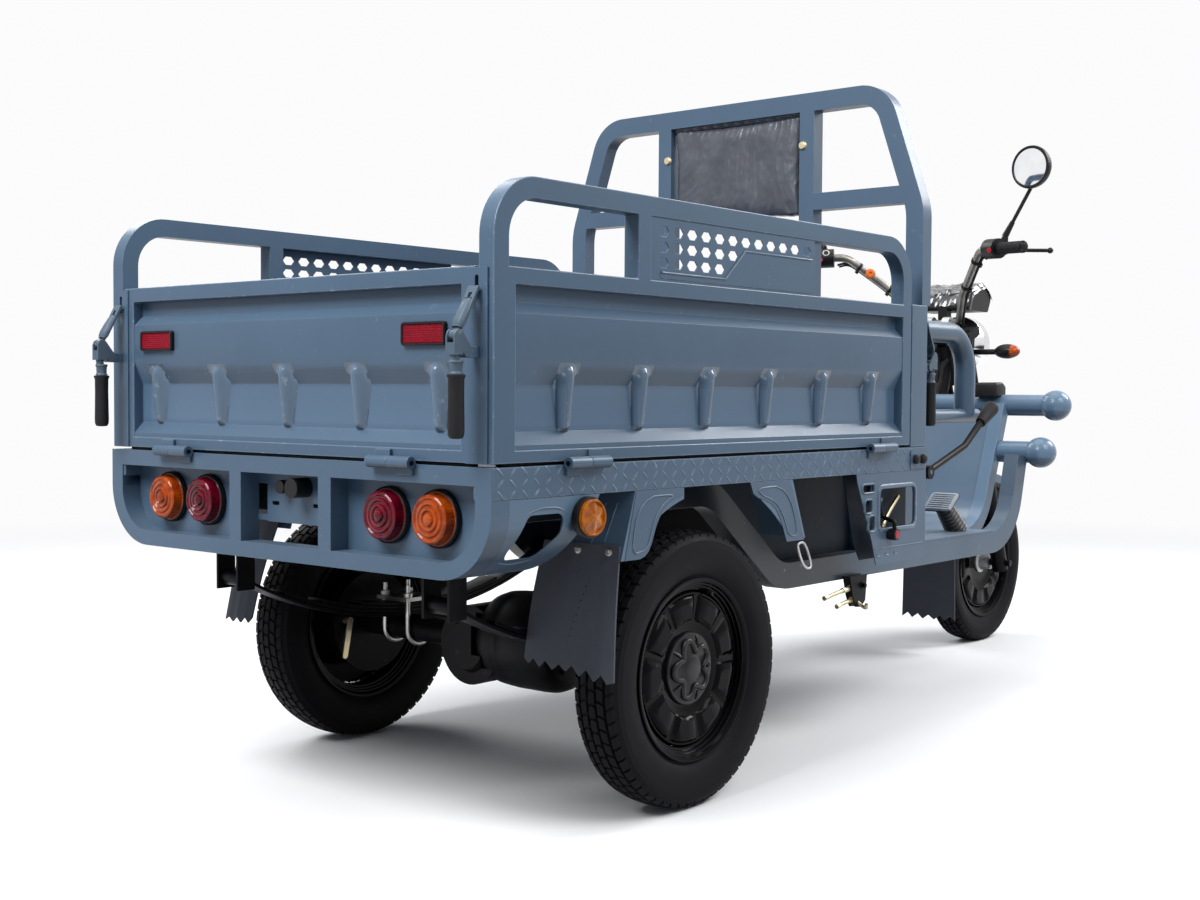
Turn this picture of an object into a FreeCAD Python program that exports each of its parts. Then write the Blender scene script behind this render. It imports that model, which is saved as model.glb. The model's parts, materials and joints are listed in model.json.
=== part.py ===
import FreeCAD
import Part
import math
import os

# Electric cargo tricycle, in millimetres.
# x runs forward from the rear face of the lamp frame, y to the left and z up from the ground.
# The finished pieces are moved along x so that the origin lies midway between the two ends.

V = FreeCAD.Vector

# Cargo bed
bed_half_width = 502.0
bed_length = 1362.0
bed_top = 632.0
bed_rail_height = 50.0
bed_rail_width = 40.0
bed_floor_thickness = 5.0
bed_joist = 40.0
sheet = 2.0
stamped = 2.5

# Rear lamp frame under the tailgate
lamp_frame_depth = 40.0
lamp_frame_bottom = 455.0
lamp_frame_top_band = 29.0
lamp_frame_side_band = 34.0
lamp_frame_bottom_band = 27.0
lamp_frame_corner = 112.0
lamp_divider_width = 32.0
lamp_divider_inner = 104.0
rear_skin = 2.5
plate_bracket_half_width = 78.0
plate_bracket_height = 87.0
plate_slot_spacing = 110.0
plate_slot_width = 7.0
plate_slot_length = 20.0

# Lamps
lamp_radius = 44.0
lamp_base_depth = 8.0
lamp_lens_depth = 26.0
lamp_height = 546.0
red_lamp_y = 242.0
amber_lamp_y = 357.0
marker_radius = 30.0
marker_rim = 4.0
marker_depth = 12.0
marker_x = 217.0
marker_z = 546.0
plate_lamp_radius = 17.0

# Gates of the cargo box
gate_clear = 5.0
gate_top = 935.0
gate_depth = 32.0
gate_top_rail = 27.0
gate_bottom_rail = 20.0
gate_stile = 30.0
tailgate_depth = 30.0
end_plate_width = 44.0
end_plate_edge = 10.0
post_clear = 1.0
side_clear = 6.0
press_depth = 18.0
press_edge = 2.0
rib_radius = 16.0
tail_rib_count = 5
side_rib_count = 6
rib_margin_tail = 74.0
rib_margin_side = 219.0
rail_tube = 34.0
rail_height = 140.0
rail_bend = 78.0
grille_start = 384.0
grille_length = 516.0
grille_pitch = 41.0
grille_hole_width = 30.0
grille_hole_height = 17.0
reflector_width = 98.0
reflector_height = 37.0
reflector_depth = 8.0
reflector_y = 355.0
reflector_z = 835.0

# Gate hinges
knuckle_radius = 10.0
knuckle_length = 49.0
knuckle_gap = 1.0
hinge_pin_radius = 4.0
running_clear = 0.06
hinge_stand_off = 11.0
tail_hinge_y = 291.0
side_hinge_rear = 212.0
side_hinge_front = 210.0

# Toggle latches
latch_pivot_out = 26.0
latch_pivot_z = 805.0
latch_elbow_out = 45.0
latch_elbow_z = 829.0
latch_tip_out = 5.0
latch_tip_z = 903.0
latch_lug = 12.0
latch_ear = 3.5
latch_ear_radius = 9.0
latch_pin_radius = 4.0
latch_bar_width = 22.0
latch_bar_thickness = 5.0
latch_grip_radius = 11.0
latch_grip_top = 771.0
latch_grip_bottom = 678.0
latch_neck_reach = 9.0
latch_y_rear = 470.0
latch_y_front = 488.0

# Headboard
post_length = 70.0
post_width = 78.0
headboard_tube = 42.0
headboard_depth = 38.0
headboard_half_width = 500.0
headboard_top = 1428.0
headboard_bend_z = 1150.0
headboard_shoulder = 392.0
headboard_corner = 75.0
headboard_upright_y = 203.0
headboard_upright_width = 38.0
headboard_cross_z = 1181.0
backrest_thickness = 46.0
backrest_gap = 0.3
backrest_bottom = 1150.0
cap_bolt_radius = 11.0
cap_bolt_z = 1310.0

# Main frame
frame_rail_y = 335.0
frame_rail_width = 40.0
frame_rail_height = 55.0
frame_low_z = 365.5
frame_high_z = 554.5
kick_run = 240.0
kick_ahead = 10.0
frame_bend = 120.0
bumper_set_back = 5.0
bumper_bend = 150.0
bumper_lean = 25.0
bumper_low_z = 592.0
bumper_high_z = 717.0
bumper_radius = 29.0
bumper_ball_radius = 41.0
bumper_low_half = 384.0
bumper_high_half = 399.0
inner_tube_y = 253.0
inner_tube_width = 36.0
leg_set_back = 26.0
neck_radius = 25.0
neck_run = 355.0
neck_knee_back = 52.5
neck_knee_drop = 142.0

# Driver's space
footboard_thickness = 4.0
footboard_length = 648.0
seat_depth = 278.0
seat_half_width = 330.0
seat_box_top = 690.0
cushion_height = 75.0
cushion_side_draw = 8.0
hoop_radius = 24.0
hoop_y = 450.0
hoop_top = 887.0
hoop_reach = 284.0
hoop_bend = 90.0
arm_bar_radius = 16.0
arm_bar_z = 696.0
arm_bar_reach = 343.0
access_share = 0.608
access_bottom = 391.0

# Wheels and axles
rear_axle_x = 560.0
tyre_radius = 250.0
tyre_width = 95.0
track_half = 436.0
front_reach = 1278.0
front_tyre_radius = 240.0
front_tyre_width = 88.0
bead_radius = 158.0
flange_radius = 166.0
rim_sheet = 5.0
rim_well = 18.0
rim_share = 0.72  # of the tyre's width
disc_share = 0.42  # disc's place, of the rim's half width
drum_radius = 100.0
axle_tube_radius = 27.0
backplate_radius = 108.0
motor_radius = 92.0
gearcase_radius = 78.0

# Leaf springs
spring_y = 280.0
spring_width = 50.0
leaf_thickness = 7.0
leaf_count = 4
spring_half_span = 440.0
spring_rise = 112.0
eye_radius = 15.0
eye_pin_radius = 7.0
u_bolt_radius = 5.0

# Front end
rake = 20.0
fork_leg_y = 80.0
fork_leg_radius = 23.0
fork_tube_radius = 17.0
fork_leg_top = 400.0
fork_tube_bottom = 300.0
lower_crown = 520.0
crown_spacing = 200.0
crown_thickness = 24.0
head_clear_low = 50.0
head_clear_high = 30.0
head_radius = 30.0
stem_radius = 14.0
front_guard_gap = 24.0
guard_thickness = 3.0
bar_radius = 11.0
bar_clamp_ahead = 6.0
bar_clamp_rise = 33.4
bar_fit = 0.3
clamp_y = 27.0
bar_pull_back = 200.0
bar_rise = 187.0
pod_y = 260.0
grip_run = (-58.0, 109.0, -5.0)
grip_radius = 17.0
pod_radius = 27.0
perch_radius = 10.0
lever_pin = 3.0
button_radius = 7.0
button_travel = 2.0
mirror_radius = 56.0
mirror_out = 102.0
mirror_rise = 209.0
headlamp_radius = 84.0

# Driver's controls
park_ahead = 23.0
park_y = 494.0
park_z = 575.0
park_rod_radius = 8.0
pedal_y = 292.0
boot_ribs = 9
boot_radius = 23.0

dash_ahead = 14.0
dash_length = 143.0
dash_half_width = 86.0
dash_lift = 36.0
lamp_ahead = 124.0
lamp_drop = 58.0
signal_ahead = 52.0
signal_drop = 82.0
signal_y = 186.0

# Places that follow from the sizes above
rib_pitch_tail = (2 * bed_half_width - rib_margin_tail) / tail_rib_count
rib_pitch_side = (bed_length - rib_margin_side) / side_rib_count
rail_top = gate_top + rail_height
grille_end = grille_start + grille_length
side_hinge_x = (side_hinge_rear, bed_length - side_hinge_front)
kick_end = rear_axle_x + spring_half_span + kick_ahead
kick_start = kick_end - kick_run
footboard_end = bed_length + footboard_length
bumper_lean_start = footboard_end - bumper_set_back
seat_front = bed_length + seat_depth
hoop_front = bed_length + hoop_reach
arm_bar_end = bed_length + arm_bar_reach
front_axle_x = bed_length + front_reach
upper_crown = lower_crown + crown_spacing
head_bottom = lower_crown + head_clear_low
head_top = upper_crown - head_clear_high
park_pivot = (bed_length + park_ahead, park_y, park_z)
wheel_centre = V(rear_axle_x, 0, tyre_radius)
front_centre = V(front_axle_x, 0, front_tyre_radius)
steer_dir = V(-math.sin(math.radians(rake)), 0, math.cos(math.radians(rake)))
gate_bottom = bed_top + gate_clear
hinge_z = bed_top + gate_clear / 2
frame_top_low = frame_low_z + frame_rail_height / 2
frame_top_high = frame_high_z + frame_rail_height / 2


# Basic shapes

def box(x0, x1, y0, y1, z0, z1):
    return Part.makeBox(x1 - x0, y1 - y0, z1 - z0, V(x0, y0, z0))


def rod(p, q, radius):
    p, q = V(*p), V(*q)
    return Part.makeCylinder(radius, (q - p).Length, p, q - p)


def tube(p, q, radius, bore):
    return rod(p, q, radius).cut(rod(p, q, bore))


def cone(p, q, r0, r1):
    p, q = V(*p), V(*q)
    return Part.makeCone(r0, r1, (q - p).Length, p, q - p)


def fuse(shapes):
    whole = shapes[0]
    if len(shapes) > 1:
        whole = shapes[0].fuse(shapes[1:])
    return whole.removeSplitter()


def mirrored(shape):
    return shape.mirror(V(0, 0, 0), V(0, 1, 0))


def pair(shape):
    return [shape, mirrored(shape)]


PLANES = {
    "xz": (lambda a, b: V(a, 0, b), V(0, 1, 0)),
    "yz": (lambda a, b: V(0, a, b), V(1, 0, 0)),
    "xy": (lambda a, b: V(a, b, 0), V(0, 0, 1)),
}


def rounded_wire(corners, place):
    # Closed outline through (a, b, radius) corners, each rounded by its radius.
    edges, last, first = [], None, None
    count = len(corners)
    for i, (a, b, radius) in enumerate(corners):
        here = place(a, b)
        before = place(*corners[i - 1][:2])
        after = place(*corners[(i + 1) % count][:2])
        u, w = (before - here).normalize(), (after - here).normalize()
        if radius > 0:
            half = math.acos(max(-1.0, min(1.0, u.dot(w)))) / 2
            reach = radius / math.tan(half)
            start, end = here + u * reach, here + w * reach
            middle = (u + w).normalize()
            top = here + middle * (radius / math.sin(half) - radius)
        else:
            start = end = here
        if last is not None and (start - last).Length > 1e-6:
            edges.append(Part.makeLine(last, start))
        if radius > 0:
            edges.append(Part.Arc(start, top, end).toShape())
        first = first or start
        last = end
    if (first - last).Length > 1e-6:
        edges.append(Part.makeLine(last, first))
    return Part.Wire(edges)


def prism(corners, plane, start, end):
    place, normal = PLANES[plane]
    face = Part.Face(rounded_wire([(c + (0,))[:3] for c in corners], place))
    face.translate(normal * start)
    return face.extrude(normal * (end - start))


def bent_outline(points, bends, width):
    # Outline of a flat bar of that width along an open path; bends are the centre-line radii.
    count = len(points)
    ways = []
    for (a0, b0), (a1, b1) in zip(points, points[1:]):
        length = math.hypot(a1 - a0, b1 - b0)
        ways.append(((a1 - a0) / length, (b1 - b0) / length))
    left, right = [], []
    for i, (a, b) in enumerate(points):
        if i in (0, count - 1):
            ux, uy = ways[0] if i == 0 else ways[-1]
            nx, ny, r_left, r_right = -uy, ux, 0, 0
        else:
            (ax, ay), (bx, by) = ways[i - 1], ways[i]
            nx, ny = -(ay + by), ax + bx
            scale = 2 / (nx * nx + ny * ny)
            nx, ny = nx * scale, ny * scale
            turn = ax * by - ay * bx
            inner = max(bends[i - 1] - width / 2, 1.0)
            outer = bends[i - 1] + width / 2
            r_left, r_right = (inner, outer) if turn > 0 else (outer, inner)
        left.append((a + nx * width / 2, b + ny * width / 2, r_left))
        right.append((a - nx * width / 2, b - ny * width / 2, r_right))
    return left + right[::-1]


def bent_bar(points, bends, width, plane, start, end):
    return prism(bent_outline(points, bends, width), plane, start, end)


def bent_pipe(points, bends, radius):
    # Round bar along a path of straight runs joined by tangent arcs.
    points = [V(*p) for p in points]
    edges, last = [], points[0]
    for i, bend in enumerate(bends, 1):
        here = points[i]
        u = (points[i - 1] - here).normalize()
        w = (points[i + 1] - here).normalize()
        half = math.acos(max(-1.0, min(1.0, u.dot(w)))) / 2
        reach = bend / math.tan(half)
        start, end = here + u * reach, here + w * reach
        top = here + (u + w).normalize() * (bend / math.sin(half) - bend)
        edges += [Part.makeLine(last, start), Part.Arc(start, top, end).toShape()]
        last = end
    edges.append(Part.makeLine(last, points[-1]))
    path = Part.Wire(edges)
    section = Part.Wire(Part.makeCircle(radius, points[0], points[1] - points[0]))
    pipe = path.makePipeShell([section], True, False)
    if pipe.Volume < 0:
        pipe.reverse()
    return pipe


def ring(section, centre, plane_y):
    # Body of revolution about the wheel axis; section corners are (radius, y, rounding).
    face = Part.Face(rounded_wire(section, lambda a, b: V(a, b, 0)))
    body = face.revolve(V(0, 0, 0), V(0, 1, 0), 360)
    body.translate(V(centre.x, plane_y, centre.z))
    return body


def steer_point(along, y=0.0, ahead=0.0):
    across = V(math.cos(math.radians(rake)), 0, math.sin(math.radians(rake)))
    return front_centre + steer_dir * along + V(0, y, 0) + across * ahead


clamp_spot = steer_point(upper_crown + bar_clamp_rise, 0, bar_clamp_ahead)
bar_clamp = (clamp_spot.x, clamp_spot.z)
pod_x = clamp_spot.x - bar_pull_back
pod_z = clamp_spot.z + bar_rise
grip_end = (pod_x + grip_run[0], pod_y + grip_run[1], pod_z + grip_run[2])
mirror_centre = (pod_x, pod_y + mirror_out, pod_z + mirror_rise)


# Cargo bed

def lamp_outline(inset, depth_start, depth_end):
    # Rounded-bottom outline of the lamp frame, drawn in by inset.
    half = bed_half_width - inset
    low = lamp_frame_bottom + inset
    corner = lamp_frame_corner - inset
    corners = [(-half, bed_top), (-half, low, corner), (half, low, corner), (half, bed_top)]
    return prism(corners, "yz", depth_start, depth_end)


def lamp_opening(depth_start, depth_end):
    half = bed_half_width - lamp_frame_side_band
    low = lamp_frame_bottom + lamp_frame_bottom_band
    high = bed_top - lamp_frame_top_band
    corner = lamp_frame_corner - lamp_frame_side_band
    corners = [(-half, high), (-half, low, corner), (half, low, corner), (half, high)]
    return prism(corners, "yz", depth_start, depth_end)


divider_outer = lamp_divider_inner + lamp_divider_width
bracket_top = bed_top - lamp_frame_top_band
bracket_front = lamp_frame_depth - sheet


def plate_bracket():
    # Licence plate carrier between the dividers, with two slots for the plate's screws.
    plate = box(bracket_front, lamp_frame_depth, -plate_bracket_half_width, plate_bracket_half_width,
                bracket_top - plate_bracket_height, bracket_top)
    slot_z = bracket_top - plate_bracket_height * 0.62
    for y in (-plate_slot_spacing / 2, plate_slot_spacing / 2):
        flat = (plate_slot_length - plate_slot_width) / 2
        cutter = [box(0, bed_length, y - flat, y + flat, slot_z - plate_slot_width / 2,
                      slot_z + plate_slot_width / 2)]
        cutter += [rod((0, y + s * flat, slot_z), (bed_length, y + s * flat, slot_z),
                       plate_slot_width / 2) for s in (-1, 1)]
        plate = plate.cut(fuse(cutter))
    ears = [box(bracket_front, lamp_frame_depth, plate_bracket_half_width, lamp_divider_inner, z, z + 10)
            for z in (bracket_top - 12, bracket_top - plate_bracket_height + 2)]
    return fuse([plate] + ears + [mirrored(e) for e in ears])


def rear_lamp_frame():
    frame = lamp_outline(0, 0, lamp_frame_depth).cut(lamp_opening(-1, lamp_frame_depth + 1))
    rail_room = box(rear_skin, lamp_frame_depth + 1, bed_half_width - bed_rail_width,
                    bed_half_width + 1, bed_top - bed_rail_height, bed_top + 1)
    frame = frame.cut(rail_room).cut(mirrored(rail_room))
    dividers = [box(0, lamp_frame_depth, y0, y1, lamp_frame_bottom + lamp_frame_bottom_band, bracket_top)
                for y0, y1 in ((lamp_divider_inner, divider_outer), (-divider_outer, -lamp_divider_inner))]
    panel = lamp_opening(lamp_frame_depth - sheet, lamp_frame_depth)
    panel = panel.common(box(0, bed_length, divider_outer, bed_half_width, 0, bed_top)).cut(rail_room)
    leaves = [tail_leaf(y, -1) for y in (-tail_hinge_y, tail_hinge_y)]
    return [frame] + dividers + pair(panel) + [plate_bracket()] + leaves


def cargo_bed():
    low = bed_top - bed_rail_height
    inner = bed_half_width - bed_rail_width
    rails = pair(box(rear_skin, bed_length, -bed_half_width, -inner, low, bed_top))
    joist_top = bed_top - bed_floor_thickness
    post_back = bed_length - post_length
    floor = box(lamp_frame_depth, post_back, -inner, inner, joist_top, bed_top)
    apron = box(post_back, bed_length, -inner, inner, joist_top, bed_top)
    places =[lamp_frame_depth, bed_length * 0.27, bed_length * 0.54, bed_length * 0.78]
    joists = [box(x, x + bed_joist, -inner, inner, low, joist_top) for x in places]
    joists.append(box(bed_length - bed_joist, bed_length, -inner, inner, low, joist_top))
    leaves = []
    for x in side_hinge_x:
        leaves += pair(side_leaf(x, -1))
    return rails + [floor, apron] + joists + leaves


def knuckle(at, along, side):
    # One half of a hinge barrel with its bore; the gate's half runs on the pin.
    start = V(*at) + V(*along) * (knuckle_gap / 2 * side)
    end = start + V(*along) * (knuckle_length * side)
    bore = hinge_pin_radius + (running_clear if side > 0 else 0)
    return tube(start, end, knuckle_radius, bore)


def hinge_leaf(at, along, side, low, high, out0, out1):
    # Flat leaf joining a knuckle to the bed (side -1) or to the gate (side 1).
    half = knuckle_length * 0.4 * side
    a, b = sorted((knuckle_gap / 2 * side + half * 0.4, knuckle_gap / 2 * side + half * 2.2))
    if along[1]:
        leaf = box(out0, out1, at[1] + a, at[1] + b, low, high)
    else:
        leaf = box(at[0] + a, at[0] + b, -bed_half_width + out0, -bed_half_width + out1, low, high)
    bore = hinge_pin_radius + (running_clear if side > 0 else 0)
    p = V(*at) - V(*along) * (2 * knuckle_length)
    q = V(*at) + V(*along) * (2 * knuckle_length)
    return fuse([knuckle(at, along, side), leaf.cut(rod(p, q, bore))])


leaf_out = 4.0
leaf_reach = 20.0


def tail_leaf(y, side, back=0.0):
    at = (-hinge_stand_off, y, hinge_z)
    low, high = (hinge_z - leaf_reach, bed_top) if side < 0 else (gate_bottom, hinge_z + leaf_reach)
    return hinge_leaf(at, (0, 1, 0), side, low, high, -leaf_out, back)


def side_leaf(x, side, back=0.0):
    at = (x, -bed_half_width - hinge_stand_off, hinge_z)
    low, high = (hinge_z - leaf_reach, bed_top) if side < 0 else (gate_bottom, hinge_z + leaf_reach)
    return hinge_leaf(at, (1, 0, 0), side, low, high, -leaf_out, back)


def hinge_pins():
    reach = knuckle_length + knuckle_gap / 2 + 2
    pins = []
    for y in (-tail_hinge_y, tail_hinge_y):
        pins.append(rod((-hinge_stand_off, y - reach, hinge_z), (-hinge_stand_off, y + reach, hinge_z),
                        hinge_pin_radius))
    out = bed_half_width + hinge_stand_off
    for x in side_hinge_x:
        pins += pair(rod((x - reach, -out, hinge_z), (x + reach, -out, hinge_z), hinge_pin_radius))
    caps = []
    back = bed_length - headboard_lap
    for y in (-cap_bolt_y, cap_bolt_y):
        caps.append(cone((back, y, cap_bolt_z), (back - 6, y, cap_bolt_z),
                         cap_bolt_radius, cap_bolt_radius * 0.7))
    return pins + caps


# Lamps

lamp_seat = lamp_frame_depth - sheet
lamp_places = [(red_lamp_y, "red"), (amber_lamp_y, "amber"), (-red_lamp_y, "red"), (-amber_lamp_y, "amber")]
marker_face = bed_half_width


def dome(p, way, radius, depth):
    # Lens with a straight rim and a crowned face.
    p, way = V(*p), V(*way)
    rim = rod(p, p + way * (depth * 0.55), radius)
    crown = cone(p + way * (depth * 0.55), p + way * depth, radius, radius * 0.72)
    return fuse([rim, crown])


def lamp_bases():
    bases = [rod((lamp_seat, y, lamp_height), (lamp_seat - lamp_base_depth, y, lamp_height), lamp_radius + 3)
             for y, _ in lamp_places]
    bases += pair(rod((marker_x, -marker_face, marker_z), (marker_x, -marker_face - marker_depth, marker_z),
                      marker_radius + marker_rim))
    lamp_z = bracket_top - plate_lamp_radius - 6
    front, right, left = bracket_front, -28, 18
    bases.append(fuse([rod((front, right, lamp_z), (front - 34, right, lamp_z), plate_lamp_radius),
                       rod((front, left, lamp_z), (front - 22, left, lamp_z), plate_lamp_radius * 0.7),
                       box(front - 10, front, right, left, lamp_z - 10, lamp_z + 10)]))
    return bases


def lenses(colour):
    back = lamp_seat - lamp_base_depth
    found = [dome((back, y, lamp_height), (-1, 0, 0), lamp_radius, lamp_lens_depth)
             for y, c in lamp_places if c == colour]
    if colour == "amber":
        found += pair(dome((marker_x, -marker_face - marker_depth, marker_z), (0, -1, 0), marker_radius, 10))
    return found


# Skirts, mudguard stays and flaps

skirt_front = 252.0
arch_rear = 322.0
arch_front = 338.0
stay_bottom = 467.0
stay_top_x = 345.0
stay_bottom_x = 308.0
front_stay_ahead = (123.0, 268.0, 315.0)
front_stay_x = tuple(rear_axle_x + ahead for ahead in front_stay_ahead)


def corner_skirt():
    # Sheet that carries the lamp frame's rounded corner forward, with a window and a curved front end.
    skin = lamp_outline(0, lamp_frame_depth, skirt_front)
    skin = skin.cut(lamp_outline(stamped, lamp_frame_depth - 1, skirt_front + 1))
    low = bed_top - bed_rail_height
    skin = skin.common(box(0, bed_length, -bed_half_width, -bed_half_width + lamp_frame_corner, 0, low))
    window = prism([(84, 556, 14), (168, 556, 16), (166, 522, 18), (130, 486, 22), (52, 486, 12)],
                   "xz", -bed_half_width - 1, -bed_half_width + 60)
    nose = prism([(skirt_front + 1, low), (skirt_front + 1, 440), (150, 440), (176, 468, 30)],
                 "xz", -bed_half_width - 1, 0)
    return skin.cut(window).cut(nose)


def rear_stay():
    low = bed_top - bed_rail_height
    inner = -bed_half_width + stamped
    side = prism([(stay_top_x, low), (stay_top_x + 136, low), (stay_top_x + 136, stay_bottom),
                  (stay_bottom_x, stay_bottom)], "xz", -bed_half_width, inner)
    arch = rod((rear_axle_x, -bed_half_width - 1, tyre_radius), (rear_axle_x, 0, tyre_radius), arch_rear)
    back = prism([(stay_top_x, low), (stay_top_x + stamped, low), (stay_bottom_x + stamped, stay_bottom),
                  (stay_bottom_x, stay_bottom)], "xz", -bed_half_width, -frame_rail_y - frame_rail_width / 2)
    bolts = []
    bolt_z = stay_bottom + flap_bolt_up
    face = stay_bottom_x + (stay_top_x - stay_bottom_x) * flap_bolt_up / (low - stay_bottom)
    for y in flap_bolt_y:
        bolts.append(rod((flap_face(bolt_z) + 0.7, -y, bolt_z), (face + stamped, -y, bolt_z), 6))
    return fuse([side.cut(arch), back] + bolts)


def flap_face(z):
    # Front face of the rear flap at that height.
    hang = stay_bottom + flap_lap
    lean = math.atan2(flap_lean, hang - flap_bottom)
    return stay_bottom_x - 0.4 + (z - stay_bottom) * math.tan(lean)


def front_stay():
    low = bed_top - bed_rail_height
    x0, x1, x2 = front_stay_x
    side = prism([(x0, low), (x1, low), (x2, stay_bottom), (x2 - 60, stay_bottom)],
                 "xz", -bed_half_width, -bed_half_width + stamped)
    arch = rod((rear_axle_x, -bed_half_width - 1, tyre_radius), (rear_axle_x, 0, tyre_radius), arch_front)
    fold = prism([(x1 - stamped, low), (x1, low), (x2, stay_bottom), (x2 - stamped, stay_bottom)],
                 "xz", -bed_half_width, -frame_rail_y - 65)
    return fuse([side.cut(arch), fold])


def mudguard_panels():
    return pair(corner_skirt()) + pair(rear_stay()) + pair(front_stay())


flap_thickness = 4.0
flap_bottom = 262.0
flap_inner = 316.0
flap_outer = 496.0
flap_lean = 24.0
flap_lap = 26.0
flap_bolt_up = 14.0
flap_bolt_y = (409.0, 476.0)
front_flap_back = 295.0
flap_arm_start = 100.0
front_flap_x = front_axle_x - front_flap_back
front_flap_half = 84.0
front_flap_bottom = 92.0


def toothed(y0, y1, low, high, teeth, depth):
    # Flap outline in y and z with a sawtooth lower edge.
    pitch = (y1 - y0) / teeth
    corners = [(y1, high), (y0, high), (y0, low)]
    for i in range(teeth):
        corners += [(y0 + pitch * (i + 0.5), low + depth), (y0 + pitch * (i + 1), low)]
    return corners


def mud_flaps():
    hang = stay_bottom + flap_lap
    flap = prism(toothed(-flap_outer, -flap_inner, flap_bottom, hang, 7, 16), "yz", 0, flap_thickness)
    lean = math.degrees(math.atan2(flap_lean, hang - flap_bottom))
    flap.rotate(V(0, 0, hang), V(0, 1, 0), lean)
    flap.translate(V(flap_face(hang) - flap_thickness / math.cos(math.radians(lean)), 0, 0))
    top = frame_low_z - neck_radius
    front = prism(toothed(-front_flap_half, front_flap_half, front_flap_bottom, top, 6, 14),
                  "yz", front_flap_x, front_flap_x + flap_thickness)
    return pair(flap) + [front]


# Gates

def press_profile(face, way, thickness):
    # Depth and height of the pressed sheet, from the top rail down; way points into the box.
    proud = face + way * press_edge
    deep = face + way * (press_edge + press_depth)
    high = gate_top - gate_top_rail
    low = gate_bottom + gate_bottom_rail
    span = high - low
    line = [(deep, high), (deep, high - span * 0.10), (proud, high - span * 0.17),
            (proud, high - span * 0.44), (deep, high - span * 0.61), (deep, high - span * 0.89),
            (proud, high - span * 0.97), (proud, low)]
    back = [(a + way * thickness, b) for a, b in line]
    return line + back[::-1], high - span * 0.56, high - span * 0.87, deep


def rib(top, bottom, radius):
    # Bullet-shaped pressing: a round head running down into a taper.
    top, bottom = V(*top), V(*bottom)
    return fuse([Part.makeSphere(radius, top), cone(top, bottom, radius, radius * 0.62)])


def pressed_sheet(plane, face, way, start, end, rib_places):
    outline, rib_top, rib_bottom, deep = press_profile(face, way, sheet)
    skin = prism(outline, plane, start, end)
    reach = 60 * way
    keep = [(face - reach, gate_top), (deep + way * sheet * 0.5, gate_top),
            (deep + way * sheet * 0.5, gate_bottom), (face - reach, gate_bottom)]
    outside = prism(keep, plane, start, end)
    humps, hollows = [], []
    for place in rib_places:
        hump = at_rib(plane, place, deep, rib_top, rib_bottom, rib_radius)
        hollow = at_rib(plane, place, deep, rib_top, rib_bottom, rib_radius - sheet)
        humps.append(hump.common(outside))
        hollows.append(hollow)
    return fuse([skin] + humps).cut(fuse(hollows))


def at_rib(plane, place, deep, top, bottom, radius):
    if plane == "xz":
        return rib((deep, place, top), (deep, place, bottom), radius)
    return rib((place, deep, top), (place, deep, bottom), radius)


tail_half = bed_half_width - gate_depth - side_clear
plate_half = bed_half_width - end_plate_edge
end_plate = 3.0


def latch_slot(y):
    # Upright keeper slot near the top of an end plate.
    low, high = latch_tip_z - 10, latch_tip_z + 14
    return fuse([box(-1, end_plate + 1, y - 4, y + 4, low, high),
                 rod((-1, y, low), (end_plate + 1, y, low), 4),
                 rod((-1, y, high), (end_plate + 1, y, high), 4)])


def tailgate():
    x0, x1 = end_plate, end_plate + tailgate_depth
    top, bottom = gate_top - gate_top_rail, gate_bottom + gate_bottom_rail
    inner = tail_half - gate_stile
    frame = box(x0, x1, -tail_half, tail_half, gate_bottom, gate_top)
    frame = frame.cut(box(x0 - 1, x1 + 1, -inner, inner, bottom, top))
    ribs = [(i - (tail_rib_count - 1) / 2) * rib_pitch_tail for i in range(tail_rib_count)]
    skin = pressed_sheet_tail(x0, inner, ribs)
    plate = box(0, x0, -plate_half, -plate_half + end_plate_width, gate_bottom, gate_top - 3)
    plate = plate.cut(latch_slot(-latch_y_rear))
    lug = latch_bracket(0, -1, -latch_y_rear)
    leaves = [tail_leaf(y, 1, x0) for y in (-tail_hinge_y, tail_hinge_y)]
    return [frame, skin] + pair(plate) + pair(lug) + leaves


def pressed_sheet_tail(face, half, ribs):
    # The sheet's section is drawn in x and z, then run across the gate.
    return pressed_sheet("xz", face, 1, -half, half, ribs)


def side_gate():
    # Right-hand gate: welded frame with its hand rail, the pressed sheet and the pierced plate.
    y0, y1 = -bed_half_width, -bed_half_width + gate_depth
    start, end = end_plate + post_clear, bed_length - post_length - 4
    top, bottom = gate_top - gate_top_rail, gate_bottom + gate_bottom_rail
    inner0, inner1 = start + rail_tube + gate_stile / 2, end - gate_stile - 5
    frame = box(start, end, y0, y1, gate_bottom, gate_top)
    frame = frame.cut(box(inner0, inner1, y0 - 1, y1 + 1, bottom, top))
    middle = rail_top - rail_tube / 2
    path = [(start + rail_tube / 2, gate_top), (start + rail_tube / 2, middle),
            (end - rail_tube / 2, middle), (end - rail_tube / 2, gate_top)]
    hoop = bent_bar(path, [rail_bend, rail_bend], rail_tube, "xz", y0, y1)
    upright = box(grille_start - rail_tube, grille_start, y0, y1, gate_top, rail_top - rail_tube)
    frame = fuse([frame, hoop, upright])
    middle_x = (inner0 + inner1) / 2
    ribs = [middle_x + (i - (side_rib_count - 1) / 2) * rib_pitch_side for i in range(side_rib_count)]
    skin = pressed_sheet("yz", y0, 1, inner0, inner1, ribs)
    leaves = [side_leaf(x, 1, 0) for x in side_hinge_x]
    return [frame, skin, grille_plate(y0)] + leaves


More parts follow.
